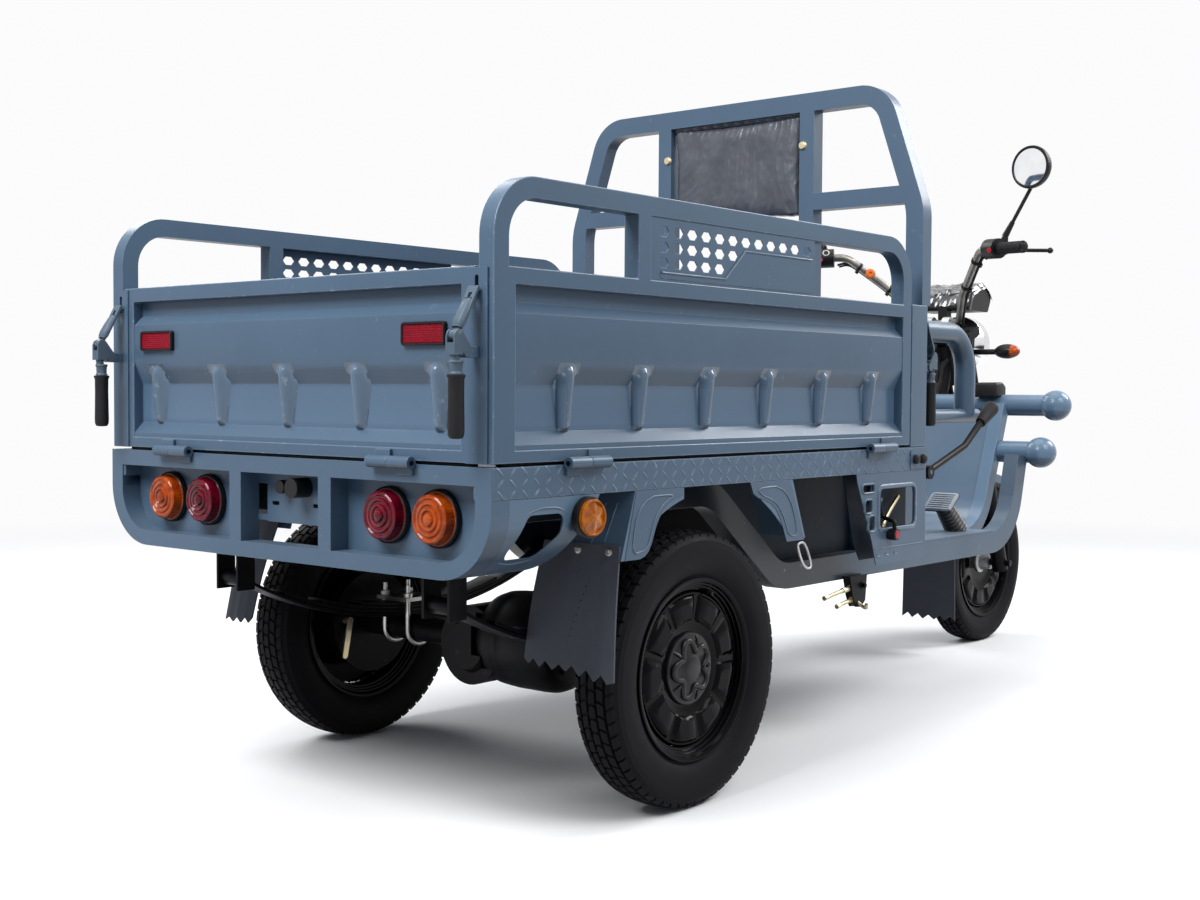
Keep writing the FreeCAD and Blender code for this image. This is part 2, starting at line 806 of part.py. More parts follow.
def grille_plate(face):
    # Pierced plate under the hand rail, with a raised field below the holes.
    low, high = gate_top, rail_top - rail_tube
    plate = box(grille_start, grille_end, face + 2, face + 2 + sheet, low, high)
    first = grille_start + 36
    holes = []
    tall = high - low
    rows = ((12, high - 0.21 * tall), (6, high - 0.46 * tall), (5, high - 0.71 * tall))
    for count, z in rows:
        for i in range(count):
            x = first + i * grille_pitch
            w, h = grille_hole_width / 2, grille_hole_height / 2
            holes.append(prism([(x - w, z), (x - w / 2, z + h), (x + w / 2, z + h), (x + w, z),
                                (x + w / 2, z - h), (x - w / 2, z - h)], "xz", face, face + 10))
    knee = first + 4.4 * grille_pitch
    upper, lower = high - 0.36 * tall, high - 0.87 * tall
    field = prism([(first - 8, low + 4), (grille_end - 12, low + 4), (grille_end - 12, upper),
                   (knee + 62, upper), (knee, lower), (first - 8, lower)], "xz", face + 0.8, face + 2)
    return fuse([plate.cut(Part.makeCompound(holes)), field])


def reflectors():
    face = end_plate + press_edge
    return pair(prism([(-reflector_y - reflector_width / 2, reflector_z - reflector_height / 2, 4),
                       (-reflector_y + reflector_width / 2, reflector_z - reflector_height / 2, 4),
                       (-reflector_y + reflector_width / 2, reflector_z + reflector_height / 2, 4),
                       (-reflector_y - reflector_width / 2, reflector_z + reflector_height / 2, 4)],
                      "yz", face - reflector_depth, face))


# Toggle latches: way is -1 on the tailgate's rear face and 1 on the front posts

def capsule(p, q, radius, y0, y1):
    (a, b), (c, d) = p, q
    length = math.hypot(c - a, d - b)
    nx, nz = -(d - b) / length * radius, (c - a) / length * radius
    bar = prism([(a + nx, b + nz), (c + nx, d + nz), (c - nx, d - nz), (a - nx, b - nz)], "xz", y0, y1)
    ends = [rod((s, y0, t), (s, y1, t), radius) for s, t in (p, q)]
    return fuse([bar] + ends)


def latch_points(face, way):
    pivot = (face + way * latch_pivot_out, latch_pivot_z)
    elbow = (face + way * latch_elbow_out, latch_elbow_z)
    tip = (face + way * latch_tip_out, latch_tip_z)
    return pivot, elbow, tip


def latch_bracket(face, way, y):
    # Lug that stands off the plate and holds the handle's pin.
    pivot = latch_points(face, way)[0]
    half = latch_lug / 2
    a, b = sorted((face, pivot[0]))
    lug = fuse([box(a, b, y - half, y + half, pivot[1] - latch_ear_radius, pivot[1] + latch_ear_radius),
                rod((pivot[0], y - half, pivot[1]), (pivot[0], y + half, pivot[1]), latch_ear_radius)])
    return lug.cut(rod((pivot[0], y - 50, pivot[1]), (pivot[0], y + 50, pivot[1]),
                       latch_pin_radius + running_clear))


def latch_handle(face, way, y):
    # Two ears on the pivot and elbow pins, a neck, and the rubber grip on its lower end.
    pivot, elbow, _ = latch_points(face, way)
    inner = latch_lug / 2 + 0.4
    outer = inner + latch_ear
    ears = [capsule(pivot, elbow, latch_ear_radius, y + a, y + b)
            for a, b in ((inner, outer), (-outer, -inner))]
    pins = [rod((s, y - outer, t), (s, y + outer, t), latch_pin_radius) for s, t in (pivot, elbow)]
    neck_x = elbow[0] + way * 1.0
    neck_top = elbow[1] - latch_ear_radius - 2
    a, b = sorted((neck_x - latch_neck_reach, neck_x + latch_neck_reach))
    block = box(a, b, y - outer, y + outer, neck_top - 18, neck_top)
    cheeks = [box(a, b, y + c, y + d, neck_top - 1, elbow[1]) for c, d in ((inner, outer), (-outer, -inner))]
    shank = rod((neck_x, y, neck_top - 10), (neck_x - way * 2, y, latch_grip_top), 7)
    body = fuse(ears + pins + [block, shank] + cheeks)
    grip = cone((neck_x - way * 2, y, latch_grip_top), (neck_x - way * 5, y, latch_grip_bottom),
                latch_grip_radius - 1, latch_grip_radius)
    return [body.cut(grip), grip]


def latch_hook(face, way, y):
    # Slotted bar that leans from the elbow to the keeper.
    _, elbow, tip = latch_points(face, way)
    run = (tip[0] - elbow[0], tip[1] - elbow[1])
    length = math.hypot(*run)
    half = latch_lug / 2
    lug = rod((0, -half, 0), (0, half, 0), latch_ear_radius - 1)
    narrow = box(-latch_bar_thickness / 2, latch_bar_thickness / 2, -half, half, 0, 24)
    wide = box(-latch_bar_thickness / 2, latch_bar_thickness / 2, -latch_bar_width / 2, latch_bar_width / 2,
               18, length)
    slot = box(-20, 20, -3.5, 3.5, 34, length - 12)
    bar = fuse([lug, narrow, wide]).cut(slot)
    bar = bar.cut(rod((0, -50, 0), (0, 50, 0), latch_pin_radius + running_clear))
    bar.rotate(V(0, 0, 0), V(0, 1, 0), math.degrees(math.atan2(run[0], run[1])))
    bar.translate(V(elbow[0], y, elbow[1]))
    return [bar]


# Headboard

headboard_lap = 24.0
cap_bolt_y = headboard_upright_y - 10


def headboard():
    front = bed_length
    back = front - post_length
    posts = pair(box(back, front, -bed_half_width, -bed_half_width + post_width, bed_top, gate_top + 3))
    x0 = front - headboard_lap
    x1 = x0 + headboard_depth
    half = headboard_half_width - headboard_tube / 2
    top = headboard_top - headboard_tube / 2
    foot = gate_top + 3
    path = [(-half, foot), (-half, headboard_bend_z), (-headboard_shoulder, top),
            (headboard_shoulder, top), (half, headboard_bend_z), (half, foot)]
    bends = [headboard_corner * 2, headboard_corner, headboard_corner, headboard_corner * 2]
    arch = bent_bar(path, bends, headboard_tube, "yz", x0, x1)
    wide = headboard_upright_width / 2
    uprights = [box(x0, x1, y - wide, y + wide, foot, headboard_top - headboard_tube)
                for y in (-headboard_upright_y, headboard_upright_y)]
    z0 = headboard_cross_z - wide
    z1 = headboard_cross_z + wide
    inner = headboard_upright_y + wide
    cross = box(x0, x1, -half + headboard_tube / 2 + 4, -inner, z0, z1)
    lean = (half - headboard_shoulder) / (top - headboard_bend_z)
    bend, rise, away = headboard_bend_z, 200, 300
    trim = prism([(-half, bend), (-half + lean * rise, bend + rise), (-half - away, bend + rise),
                  (-half - away, bend)], "yz", x0 - 1, x1 + 1)
    cross = fuse([cross, box(x0, x1, -half, -half + headboard_tube, z0, z1).cut(trim)])
    frame = fuse([arch] + uprights + [cross, mirrored(cross)])
    wall_y = bed_half_width - post_width
    wall = box(back + 20, back + 20 + sheet, -wall_y, wall_y, bed_top, gate_top - 4)
    beads = [box(back + 12, back + 20, -wall_y + 40, wall_y - 40, z, z + 40)
             for z in (bed_top + 70, bed_top + 170)]
    sill = box(back, front, -wall_y, wall_y, gate_top - 4, foot)
    lugs = pair(latch_bracket(front, 1, -latch_y_front))
    return posts + [frame, fuse([wall] + beads), sill] + lugs


def backrest_pad():
    # Padded back between the uprights: crowned front, sides drawn in towards the corners.
    half = headboard_upright_y - headboard_upright_width / 2 - backrest_gap
    low, high = backrest_bottom, headboard_top - headboard_tube - backrest_gap
    x0 = bed_length - headboard_lap + 4
    draw = 6.0
    loops = []
    for x, inset in ((x0, 6), (x0 + 8, 0), (x0 + backrest_thickness * 0.7, 0), (x0 + backrest_thickness, 18)):
        y0, y1, z0, z1 = -half + inset, half - inset, low + inset, high - inset
        mid_y, mid_z = 0, (z0 + z1) / 2
        sides = [((y0, z0), (mid_y, z0 + draw), (y1, z0)), ((y1, z0), (y1 - draw, mid_z), (y1, z1)),
                 ((y1, z1), (mid_y, z1 - draw), (y0, z1)), ((y0, z1), (y0 + draw, mid_z), (y0, z0))]
        loops.append(Part.Wire([Part.Arc(*[V(x, a, b) for a, b in arc]).toShape() for arc in sides]))
    return Part.makeLoft(loops, True, True)


# Main frame

lean_rad = math.radians(bumper_lean)


def lean_x(z):
    return bumper_lean_start + bumper_corner_run + (z - frame_low_z) * math.tan(lean_rad)


bumper_corner_run = 120.0
bumper_low_x = lean_x(bumper_low_z)
bumper_high_x = lean_x(bumper_high_z)


def side_rail():
    # One chassis rail: high over the axle, kicked down in front of it, then bent up to the bumper.
    corner = bumper_lean_start + bumper_corner_run
    stop = bumper_low_z - bumper_radius * 0.4
    path = [(lamp_frame_depth, frame_high_z), (kick_start, frame_high_z), (kick_end, frame_low_z),
            (corner, frame_low_z), (lean_x(stop) - bumper_radius - 12, stop)]
    half = frame_rail_width / 2
    bar = bent_bar(path, [frame_bend, frame_bend, bumper_bend], frame_rail_height,
                   "xz", -frame_rail_y - half, -frame_rail_y + half)
    low_bar = rod((bumper_low_x, -bed_half_width, bumper_low_z), (bumper_low_x, 0, bumper_low_z),
                  bumper_radius)
    return bar.cut(low_bar)


def neck():
    middle = steer_point((head_bottom + head_top) / 2)
    path = [(front_cross_x + cross_width, 0, frame_low_z), (front_cross_x + neck_run, 0, frame_low_z),
            tuple(middle - V(neck_knee_back, 0, neck_knee_drop)), tuple(middle)]
    pipe = bent_pipe(path, [90, 90], neck_radius)
    head = rod(steer_point(head_bottom), steer_point(head_top), head_radius)
    bore = rod(steer_point(head_bottom - 40), steer_point(head_top + 40), head_radius - 6)
    return fuse([pipe, head]).cut(bore)


cross_width = 40.0
cross_set_back = 22.0
high_cross_ahead = 120.0
battery_length = 238.0
battery_start = bed_length - cross_set_back - battery_length
front_cross_back = 140.0
front_cross_x = footboard_end - front_cross_back
hanger_rear_x = rear_axle_x - spring_half_span
hanger_front_x = rear_axle_x + spring_half_span
axle_pad_z = tyre_radius + axle_tube_radius
eye_z = axle_pad_z + leaf_thickness / 2 + spring_rise


def spring_hangers():
    # Rear eye between two cheeks under a cross member, front eye on a pin from the rail's inner side.
    half = spring_width / 2
    inner = -frame_rail_y + frame_rail_width / 2
    top = frame_high_z - frame_rail_height / 2
    x0, x1 = hanger_rear_x - cross_width / 2, hanger_rear_x + cross_width / 2
    cheeks = [box(x0, x1, -spring_y - half - 8, -spring_y - half - 2, eye_z - 22, top),
              box(x0, x1, -spring_y + half + 2, -spring_y + half + 8, eye_z - 22, top)]
    pin = rod((hanger_rear_x, -spring_y - half - 8, eye_z), (hanger_rear_x, -spring_y + half + 8, eye_z),
              eye_pin_radius)
    front_pin = rod((hanger_front_x, inner, eye_z), (hanger_front_x, -spring_y + half + 6, eye_z),
                    eye_pin_radius)
    collar = rod((hanger_front_x, inner, eye_z), (hanger_front_x, -spring_y - half - 2, eye_z), eye_radius)
    washer = rod((hanger_front_x, -spring_y + half + 2, eye_z), (hanger_front_x, -spring_y + half + 6, eye_z),
                 eye_radius)
    return [fuse(cheeks + [pin]), fuse([front_pin, collar, washer])]


def main_frame():
    inner = frame_rail_y - frame_rail_width / 2
    rails = pair(side_rail())
    crosses = [box(x, x + cross_width, -inner, inner, frame_high_z - frame_rail_height / 2, frame_top_high)
               for x in (hanger_rear_x - cross_width / 2, rear_axle_x + high_cross_ahead)]
    crosses += [box(x, x + cross_width, -inner, inner, frame_low_z - 20, frame_low_z + 20)
                for x in (battery_start - cross_width, bed_length - cross_set_back, front_cross_x)]
    hangers = spring_hangers()
    hangers += [mirrored(h) for h in hangers]
    under = frame_low_z - neck_radius
    flap_arm = box(footboard_end + flap_arm_start, front_flap_x, -18, 18, under - 6, under)
    return rails + crosses + [neck(), flap_arm] + hangers


def front_bumper():
    # Two cross bars with ball ends, carried by two leaning tubes.
    bars = []
    for x, z, half in ((bumper_low_x, bumper_low_z, bumper_low_half),
                       (bumper_high_x, bumper_high_z, bumper_high_half)):
        bar = rod((x, -half, z), (x, half, z), bumper_radius)
        balls = pair(Part.makeSphere(bumper_ball_radius, V(x, -half, z)))
        bars.append(bar.cut(Part.makeCompound(balls)))
        bars += balls
    corner = bumper_lean_start + bumper_corner_run
    stop = bumper_high_z
    level = frame_top_low - inner_tube_width / 2
    path = [(front_cross_x + cross_width, level), (corner, level), (lean_x(stop) - leg_set_back, stop)]
    half = inner_tube_width / 2
    leg = bent_bar(path, [bumper_bend], inner_tube_width, "xz", -inner_tube_y - half, -inner_tube_y + half)
    for x, z in ((bumper_low_x, bumper_low_z), (bumper_high_x, bumper_high_z)):
        leg = leg.cut(rod((x, -bed_half_width, z), (x, 0, z), bumper_radius))
    return bars + pair(leg)


# Driver's space

shield_gap = 1.0
shield_inset = 6.0


def footboard():
    half = frame_rail_y + frame_rail_width / 2
    plate = box(bed_length, footboard_end, -half, half, frame_top_low, frame_top_low + footboard_thickness)
    slot = box(boot_foot.x - 46, boot_foot.x + 34, boot_foot.y - 11, boot_foot.y + 11, 0, bed_top)
    return [plate.cut(slot)]


def leg_shield():
    # Sheet between the leaning tubes, set a little below their faces, from the floor to the upper bar.
    corner = bumper_lean_start + bumper_corner_run
    gap = inner_tube_width / 2 - shield_inset - sheet / 2
    low = frame_top_low - shield_inset - sheet / 2
    stop = bumper_high_z - bumper_radius - 8
    shift = gap * (1 - math.sin(lean_rad)) / math.cos(lean_rad)
    lift = lean_x(stop) - leg_set_back - gap / math.cos(lean_rad)
    path = [(footboard_end, low), (corner - shift, low), (lift, stop)]
    half = inner_tube_y - inner_tube_width / 2
    skin = bent_bar(path, [bumper_bend - gap], sheet, "xz", -half, half)
    bar = rod((bumper_low_x, -bed_half_width, bumper_low_z), (bumper_low_x, bed_half_width, bumper_low_z),
              bumper_radius + shield_gap)
    spine = rod((footboard_end - 20, 0, frame_low_z), (corner + 80, 0, frame_low_z), neck_radius + shield_gap)
    return [skin.cut(bar).cut(spine)]


floor_top = frame_top_low + footboard_thickness
access_length = access_share * (bed_length - front_stay_x[2])
access_start = bed_length - access_length


def access_x(share):
    # Place along the access panel, from its rear edge to the bed's front end.
    return access_start + share * access_length


def seat_frame():
    # Seat box, arm hoops on the front posts, access panel with its window, and lever brackets.
    box_skin = box(bed_length, seat_front, -seat_half_width, seat_half_width, floor_top, seat_box_top)
    room = box(bed_length + sheet, seat_front - sheet, -seat_half_width + sheet, seat_half_width - sheet,
               floor_top - 1, seat_box_top - sheet)
    hoop = bent_pipe([(bed_length, -hoop_y, hoop_top), (hoop_front, -hoop_y, hoop_top),
                      (hoop_front, -hoop_y, arm_bar_z)], [hoop_bend], hoop_radius)
    bar = rod((bed_length, -hoop_y, arm_bar_z), (arm_bar_end, -hoop_y, arm_bar_z), arm_bar_radius)
    hoop = fuse([hoop, bar])
    stay = box(seat_front - 40, seat_front - 10, -hoop_y + arm_bar_radius - 4, -seat_half_width,
               arm_bar_z - 12, arm_bar_z - 7)
    hoop = fuse([hoop, stay])
    low = bed_top - bed_rail_height
    outline = [(access_start, low), (bed_length, low), (bed_length, access_bottom),
               (access_x(0.284), access_bottom), (access_x(0.223), 440, 20), (access_x(0.02), low - 20, 20)]
    panel = prism(outline, "xz", -bed_half_width, -bed_half_width + stamped)
    window = prism([(access_x(0.324), 548, 14), (access_x(0.831), 548, 14), (access_x(0.831), 466, 14),
                    (access_x(0.324), 466, 14)], "xz", -bed_half_width - 1, -bed_half_width + 9)
    slots = [prism([(access_x(a), z, 3), (access_x(b), z, 3), (access_x(b), z - h, 3),
                    (access_x(a), z - h, 3)], "xz", -bed_half_width - 1, -bed_half_width + 9)
             for a, b, z, h in ((0.088, 0.236, 558, 14), (0.122, 0.209, 526, 24), (0.176, 0.250, 492, 28))]
    panel = panel.cut(Part.makeCompound([window] + slots))
    px, py, pz = park_pivot
    bracket = fuse([box(bed_length, px + 12, -py + 14, -py + 20, pz - 16, pz + 14),
                    box(bed_length, bed_length + 4, -bed_half_width + 2, -py + 20, pz - 16, bed_top)])
    pin = rod((px, -py + 14, pz), (px, -py - 10, pz), 5)
    bracket = fuse([bracket, pin])
    gx, gy, gz = gear_pivot
    gear_bracket = fuse([box(gx - 14, gx + 14, -gy + 8, -gy + 12, gz - 14, low),
                         rod((gx, -gy + 10, gz), (gx, -gy - 10, gz), 4)])
    return [box_skin.cut(room)] + pair(hoop) + pair(panel) + [bracket, gear_bracket]


gear_pivot = (access_x(0.439), 478.0, 524.0)
gear_knob = (access_x(0.459), 452.0)
gear_knob_radius = 12.5
gear_knob_length = 20.5


def gear_lever():
    # Hub on its pin, a rod that comes out through the window, and the round knob.
    gx, gy, gz = gear_pivot
    kx, kz = gear_knob
    out = bed_half_width + 12
    hub = tube((gx, -gy - 7, gz), (gx, -gy + 7, gz), 10, 4 + running_clear)
    arm = bent_pipe([(gx + 6, -gy, gz - 8), (kx + 8, -gy - 4, kz + 34), (kx + 4, -out, kz + 26),
                     (kx, -out, kz)], [8, 8], 4.5)
    arm = arm.cut(rod((gx, -gy - 7, gz), (gx, -gy + 7, gz), 10))
    knob = rod((kx, -bed_half_width - 1.5, kz), (kx, -bed_half_width - 1.5 - gear_knob_length, kz),
               gear_knob_radius)
    lever = fuse([hub, arm]).cut(knob)
    return [lever, knob]


def park_lever():
    px, py, pz = park_pivot
    hub = tube((px, -py - 9, pz), (px, -py + 11, pz), 15, 5 + running_clear)
    path = [(px, -py, pz), (px + 175, -py, pz + 53), (px + 255, -py, pz + 105), (px + 280, -py, pz + 120)]
    runs = [rod(p, q, park_rod_radius) for p, q in zip(path, path[1:])]
    knees = [Part.makeSphere(park_rod_radius, V(*p)) for p in path[1:3]]
    room = rod((px, -py - 20, pz), (px, -py + 20, pz), 12)
    lever = fuse([hub, fuse(runs + knees).cut(room)])
    a, b = V(*path[2]), V(*path[3])
    way = (b - a).normalize()
    grip = cone(a, a + way * 62, 12, 18)
    knob = fuse([grip, Part.makeSphere(18, a + way * 62)])
    return [lever.cut(knob), knob]


boot_foot = V(footboard_end - 75, -pedal_y, frame_top_low + footboard_thickness)
boot_head = V(footboard_end - 154, -pedal_y, 466.0)
pedal_pivot = V(footboard_end - 20, -pedal_y, 352.0)
pedal_pad_length = 62.0
pedal_pad_width = 70.0
pedal_hub = 28.0


def brake_pedal():
    # Pad on an arm that goes through the floor to a cross pin.
    way = (boot_head - boot_foot).normalize()
    knee = boot_foot - way * 34
    arm = bent_pipe([boot_head + way * 10, knee, pedal_pivot + V(-9, 0, 2)], [30], 7)
    hub = tube(pedal_pivot + V(0, -pedal_hub / 2, 0), pedal_pivot + V(0, pedal_hub / 2, 0), 13,
               6 + running_clear)
    arm = arm.cut(rod(pedal_pivot + V(0, -20, 0), pedal_pivot + V(0, 20, 0), 12))
    pad = box(-pedal_pad_length / 2, pedal_pad_length / 2, -pedal_pad_width / 2, pedal_pad_width / 2, 0, 8)
    pad.rotate(V(0, 0, 0), V(0, 1, 0), math.degrees(math.atan2(way.x, way.z)) + 12)
    pad.translate(boot_head + way * 6)
    return [fuse([arm, hub, pad])]


def pedal_pin():
    # Pin that the pedal turns on, held by a block on the rail.
    side = -frame_rail_y + frame_rail_width / 2
    block = box(pedal_pivot.x - 12, pedal_pivot.x + 12, side, pedal_pivot.y - pedal_hub / 2 - 0.4,
                pedal_pivot.z - 10, pedal_pivot.z + 10)
    pin = rod((pedal_pivot.x, side, pedal_pivot.z),
              (pedal_pivot.x, pedal_pivot.y + pedal_hub / 2 + 2, pedal_pivot.z), 6)
    return fuse([block, pin])


def pedal_boot():
    # Ribbed gaiter from the floor to the pad, with a bore for the arm.
    length = (boot_head - boot_foot).Length - 18
    pitch = length / boot_ribs
    circles = []
    for i in range(boot_ribs):
        for share, drop in ((0.0, 6), (0.35, 0), (0.65, 0), (0.999, 6)):
            radius = boot_radius * (1 - 0.14 * i / boot_ribs) - drop
            circles.append(Part.Wire(Part.makeCircle(radius, V((i + share) * pitch, 0, 0), V(1, 0, 0))))
    body = Part.makeLoft(circles, True, True)
    body = body.cut(rod((-1, 0, 0), (length + 1, 0, 0), 10))
    way = (boot_head - boot_foot).normalize()
    body.rotate(V(0, 0, 0), V(0, 1, 0), -math.degrees(math.atan2(way.z, way.x)))
    body.translate(boot_foot + way * 10)
    foot = box(0, bed_length * 2, -bed_half_width, 0, floor_top, bed_top)
    return [body.common(foot)]


def seat_cushion():
    # Crowned bench cushion whose sides draw in between its corners.
    x0, x1 = bed_length + 6, seat_front + 14
    half = seat_half_width - 4
    loops = []
    for z, inset, draw in ((seat_box_top, 10, 2), (seat_box_top + 16, 0, cushion_side_draw),
                           (seat_box_top + cushion_height * 0.7, 2, cushion_side_draw),
                           (seat_box_top + cushion_height, 26, 4)):
        a0, a1, b0, b1 = x0 + inset, x1 - inset, -half + inset, half - inset
        ma = (a0 + a1) / 2
        sides = [((a0, b0), (ma, b0 + draw), (a1, b0)), ((a1, b0), (a1 - draw, 0), (a1, b1)),
                 ((a1, b1), (ma, b1 - draw), (a0, b1)), ((a0, b1), (a0 + draw, 0), (a0, b0))]
        loops.append(Part.Wire([Part.Arc(*[V(a, b, z) for a, b in arc]).toShape() for arc in sides]))
    return [Part.makeLoft(loops, True, True)]


def battery_pack():
    # Battery case between the two low cross members, motor controller on a high one.
    top = bed_top - bed_rail_height
    case = box(battery_start, battery_start + battery_length, -battery_half_width, battery_half_width,
               frame_low_z - 20, frame_low_z - 20 + battery_height)
    cross_face = rear_axle_x + high_cross_ahead + cross_width
    controller = box(cross_face, cross_face + 160, -90, 90, top - controller_height, top)
    return [case, controller]


battery_half_width = 240.0
battery_height = 146.0
controller_height = 62.0


# Wheels

def tyre(radius, width, centre, y):
    half = width / 2
    wall = 9.0
    seat = half * rim_share
    side = [(bead_radius, seat, 0), (flange_radius + 1.5, seat, 1), (flange_radius + 14, half * 0.95, 8),
            (radius - 30, half, 16), (radius - 7, half * 0.80, 12), (radius, half * 0.42, 20)]
    outer = [(r, -y, turn) for r, y, turn in side] + side[::-1]
    inner = [(bead_radius, seat - wall, 0), (bead_radius + 22, half * 0.94 - wall, 8),
             (radius - 32, half - wall, 10), (radius - wall - 6, half * 0.6, 10),
             (radius - wall - 6, -half * 0.6, 10), (radius - 32, -half + wall, 10),
             (bead_radius + 22, -half * 0.94 + wall, 8), (bead_radius, -seat + wall, 0)]
    return ring(outer + inner, centre, y)


def rim(width, centre, y, out):
    # Pressed rim, its dished disc with raised pads, the brake drum inside and the lobed hub cap.
    half = width / 2 * rim_share
    t = rim_sheet
    disc_r = bead_radius - rim_well
    barrel = [(flange_radius, -half - t, 0), (bead_radius, -half - t, 0), (bead_radius - t, -half, 3),
              (disc_r, -half * 0.5, 6), (disc_r, half * 0.5, 6), (bead_radius - t, half, 3),
              (bead_radius, half + t, 0), (flange_radius, half + t, 0), (flange_radius, half, 0),
              (bead_radius - 0.02, half, 0), (disc_r + t, half * 0.4, 6), (disc_r + t, -half * 0.4, 6),
              (bead_radius - 0.02, -half, 0), (flange_radius, -half, 0)]
    shell = ring(barrel, centre, y)
    disc_y = y + out * half * disc_share
    disc = rod((centre.x, disc_y, centre.z), (centre.x, disc_y + out * t, centre.z), disc_r)
    pads = []
    for i in range(9):
        pad = prism([(disc_r - 46, -15, 4), (disc_r - 5, -23, 6), (disc_r - 5, 23, 6), (disc_r - 46, 15, 4)],
                    "xz", 0, 5)
        pad.rotate(V(0, 0, 0), V(0, 1, 0), 40 * i + 10)
        pad.translate(V(centre.x, disc_y + (out * t if out > 0 else -t - 5), centre.z))
        pads.append(pad)
    wheel = fuse([shell, disc] + pads)
    drum_in = y - out * (half + 3)
    drum = rod((centre.x, disc_y, centre.z), (centre.x, drum_in, centre.z), drum_radius)
    drum = drum.cut(rod((centre.x, disc_y - out * 8, centre.z), (centre.x, drum_in - out * 5, centre.z),
                        drum_radius - 8))
    hub = rod((centre.x, disc_y - out * 8, centre.z), (centre.x, drum_in, centre.z), 26)
    drum = fuse([drum, hub]).cut(rod((centre.x, y - 90, centre.z), (centre.x, y + 90, centre.z),
                                     spindle_radius + running_clear))
    wheel = wheel.cut(rod((centre.x, y - 90, centre.z), (centre.x, y + 90, centre.z), 24))
    face = disc_y + out * t
    cap = [rod((centre.x, face, centre.z), (centre.x, face + out * 10, centre.z), 66),
           rod((centre.x, face + out * 10, centre.z), (centre.x, face + out * 24, centre.z), 36)]
    for i in range(6):
        a = math.radians(60 * i)
        x, z = centre.x + 44 * math.cos(a), centre.z + 44 * math.sin(a)
        cap.append(rod((x, face + out * 10, z), (x, face + out * 20, z), 15))
    return [wheel, drum, fuse(cap)]


def front_rim(width, centre):
    # The same wheel and drum, with a nose up to the fork leg in place of the hub cap.
    half = width / 2 * rim_share
    wheel, drum, _ = rim(width, centre, 0, -1)
    bore = rod((centre.x, -200, centre.z), (centre.x, 200, centre.z), spindle_radius + running_clear)
    nose = rod((centre.x, -half * disc_share - rim_sheet, centre.z),
               (centre.x, -fork_leg_y + fork_leg_radius + 2, centre.z), 24).cut(bore)
    return [wheel, drum, nose]


spindle_radius = 10.0


# Rear axle

def rear_axle():
    inner_rim = track_half - tyre_width / 2 * rim_share - 3
    plate_y = inner_rim - 6
    axle = rod((rear_axle_x, -plate_y, tyre_radius), (rear_axle_x, plate_y, tyre_radius), axle_tube_radius)
    gear = rod((rear_axle_x - 85, 14, tyre_radius), (rear_axle_x + 75, 14, tyre_radius), gearcase_radius)
    cover = cone((rear_axle_x - 85, 14, tyre_radius), (rear_axle_x - 98, 14, tyre_radius), 54, 46)
    housing = fuse([axle, gear, cover])
    motor_room = rod((rear_axle_x - 10, -motor_reach, tyre_radius + 12),
                     (rear_axle_x - 10, motor_inner, tyre_radius + 12), motor_radius + 0.3)
    plates = []
    for s in (-1, 1):
        tip = s * (track_half + tyre_width / 2 * rim_share * disc_share - 2)
        spindle = rod((rear_axle_x, s * plate_y, tyre_radius), (rear_axle_x, tip, tyre_radius),
                      spindle_radius)
        disc = rod((rear_axle_x, s * (plate_y - 5), tyre_radius), (rear_axle_x, s * plate_y, tyre_radius),
                   backplate_radius)
        disc = disc.cut(axle)
        shaft_y = s * (plate_y - 5)
        arm = fuse([rod((rear_axle_x - 78, shaft_y, tyre_radius + 10),
                        (rear_axle_x - 78, shaft_y - s * 16, tyre_radius + 10), 8),
                    capsule((rear_axle_x - 78, tyre_radius + 10), (rear_axle_x - 92, tyre_radius - 62), 7,
                            *sorted((shaft_y - s * 16, shaft_y - s * 12)))])
        plates += [disc, spindle, arm]
    return [housing.cut(motor_room)] + plates


motor_reach = 190.0
motor_inner = -4.0


def drive_motor():
    # Drum around the axle, against the gear case, with cooling fins towards its outer end.
    z = tyre_radius + 12
    x = rear_axle_x - 10
    body = rod((x, -motor_reach, z), (x, motor_inner, z), motor_radius)
    fins = []
    for i in range(5):
        y = -motor_reach + 22 + i * 20
        fins.append(tube((x, y, z), (x, y + 6, z), motor_radius + 5, motor_radius - 2))
    return [fuse([body] + fins)]


def leaf_arc(share, level):
    # One leaf along the spring's curve, that share of the full half span.
    reach = spring_half_span * share
    base = axle_pad_z + leaf_thickness / 2 + level
    rise = spring_rise * share * share
    mid_rise = rise * 0.25
    points = [V(rear_axle_x - reach, 0, base + rise), V(rear_axle_x - reach / 2, 0, base + mid_rise),
              V(rear_axle_x, 0, base)]
    other = [V(2 * rear_axle_x - p.x, 0, p.z) for p in points]
    t = leaf_thickness / 2
    up = V(0, 0, t)
    edges = [Part.Arc(points[0] + up, points[2] + up, other[0] + up).toShape(),
             Part.makeLine(other[0] + up, other[0] - up),
             Part.Arc(other[0] - up, points[2] - up, points[0] - up).toShape(),
             Part.makeLine(points[0] - up, points[0] + up)]
    face = Part.Face(Part.Wire(edges))
    face.translate(V(0, -spring_y - spring_width / 2, 0))
    return face.extrude(V(0, spring_width, 0))


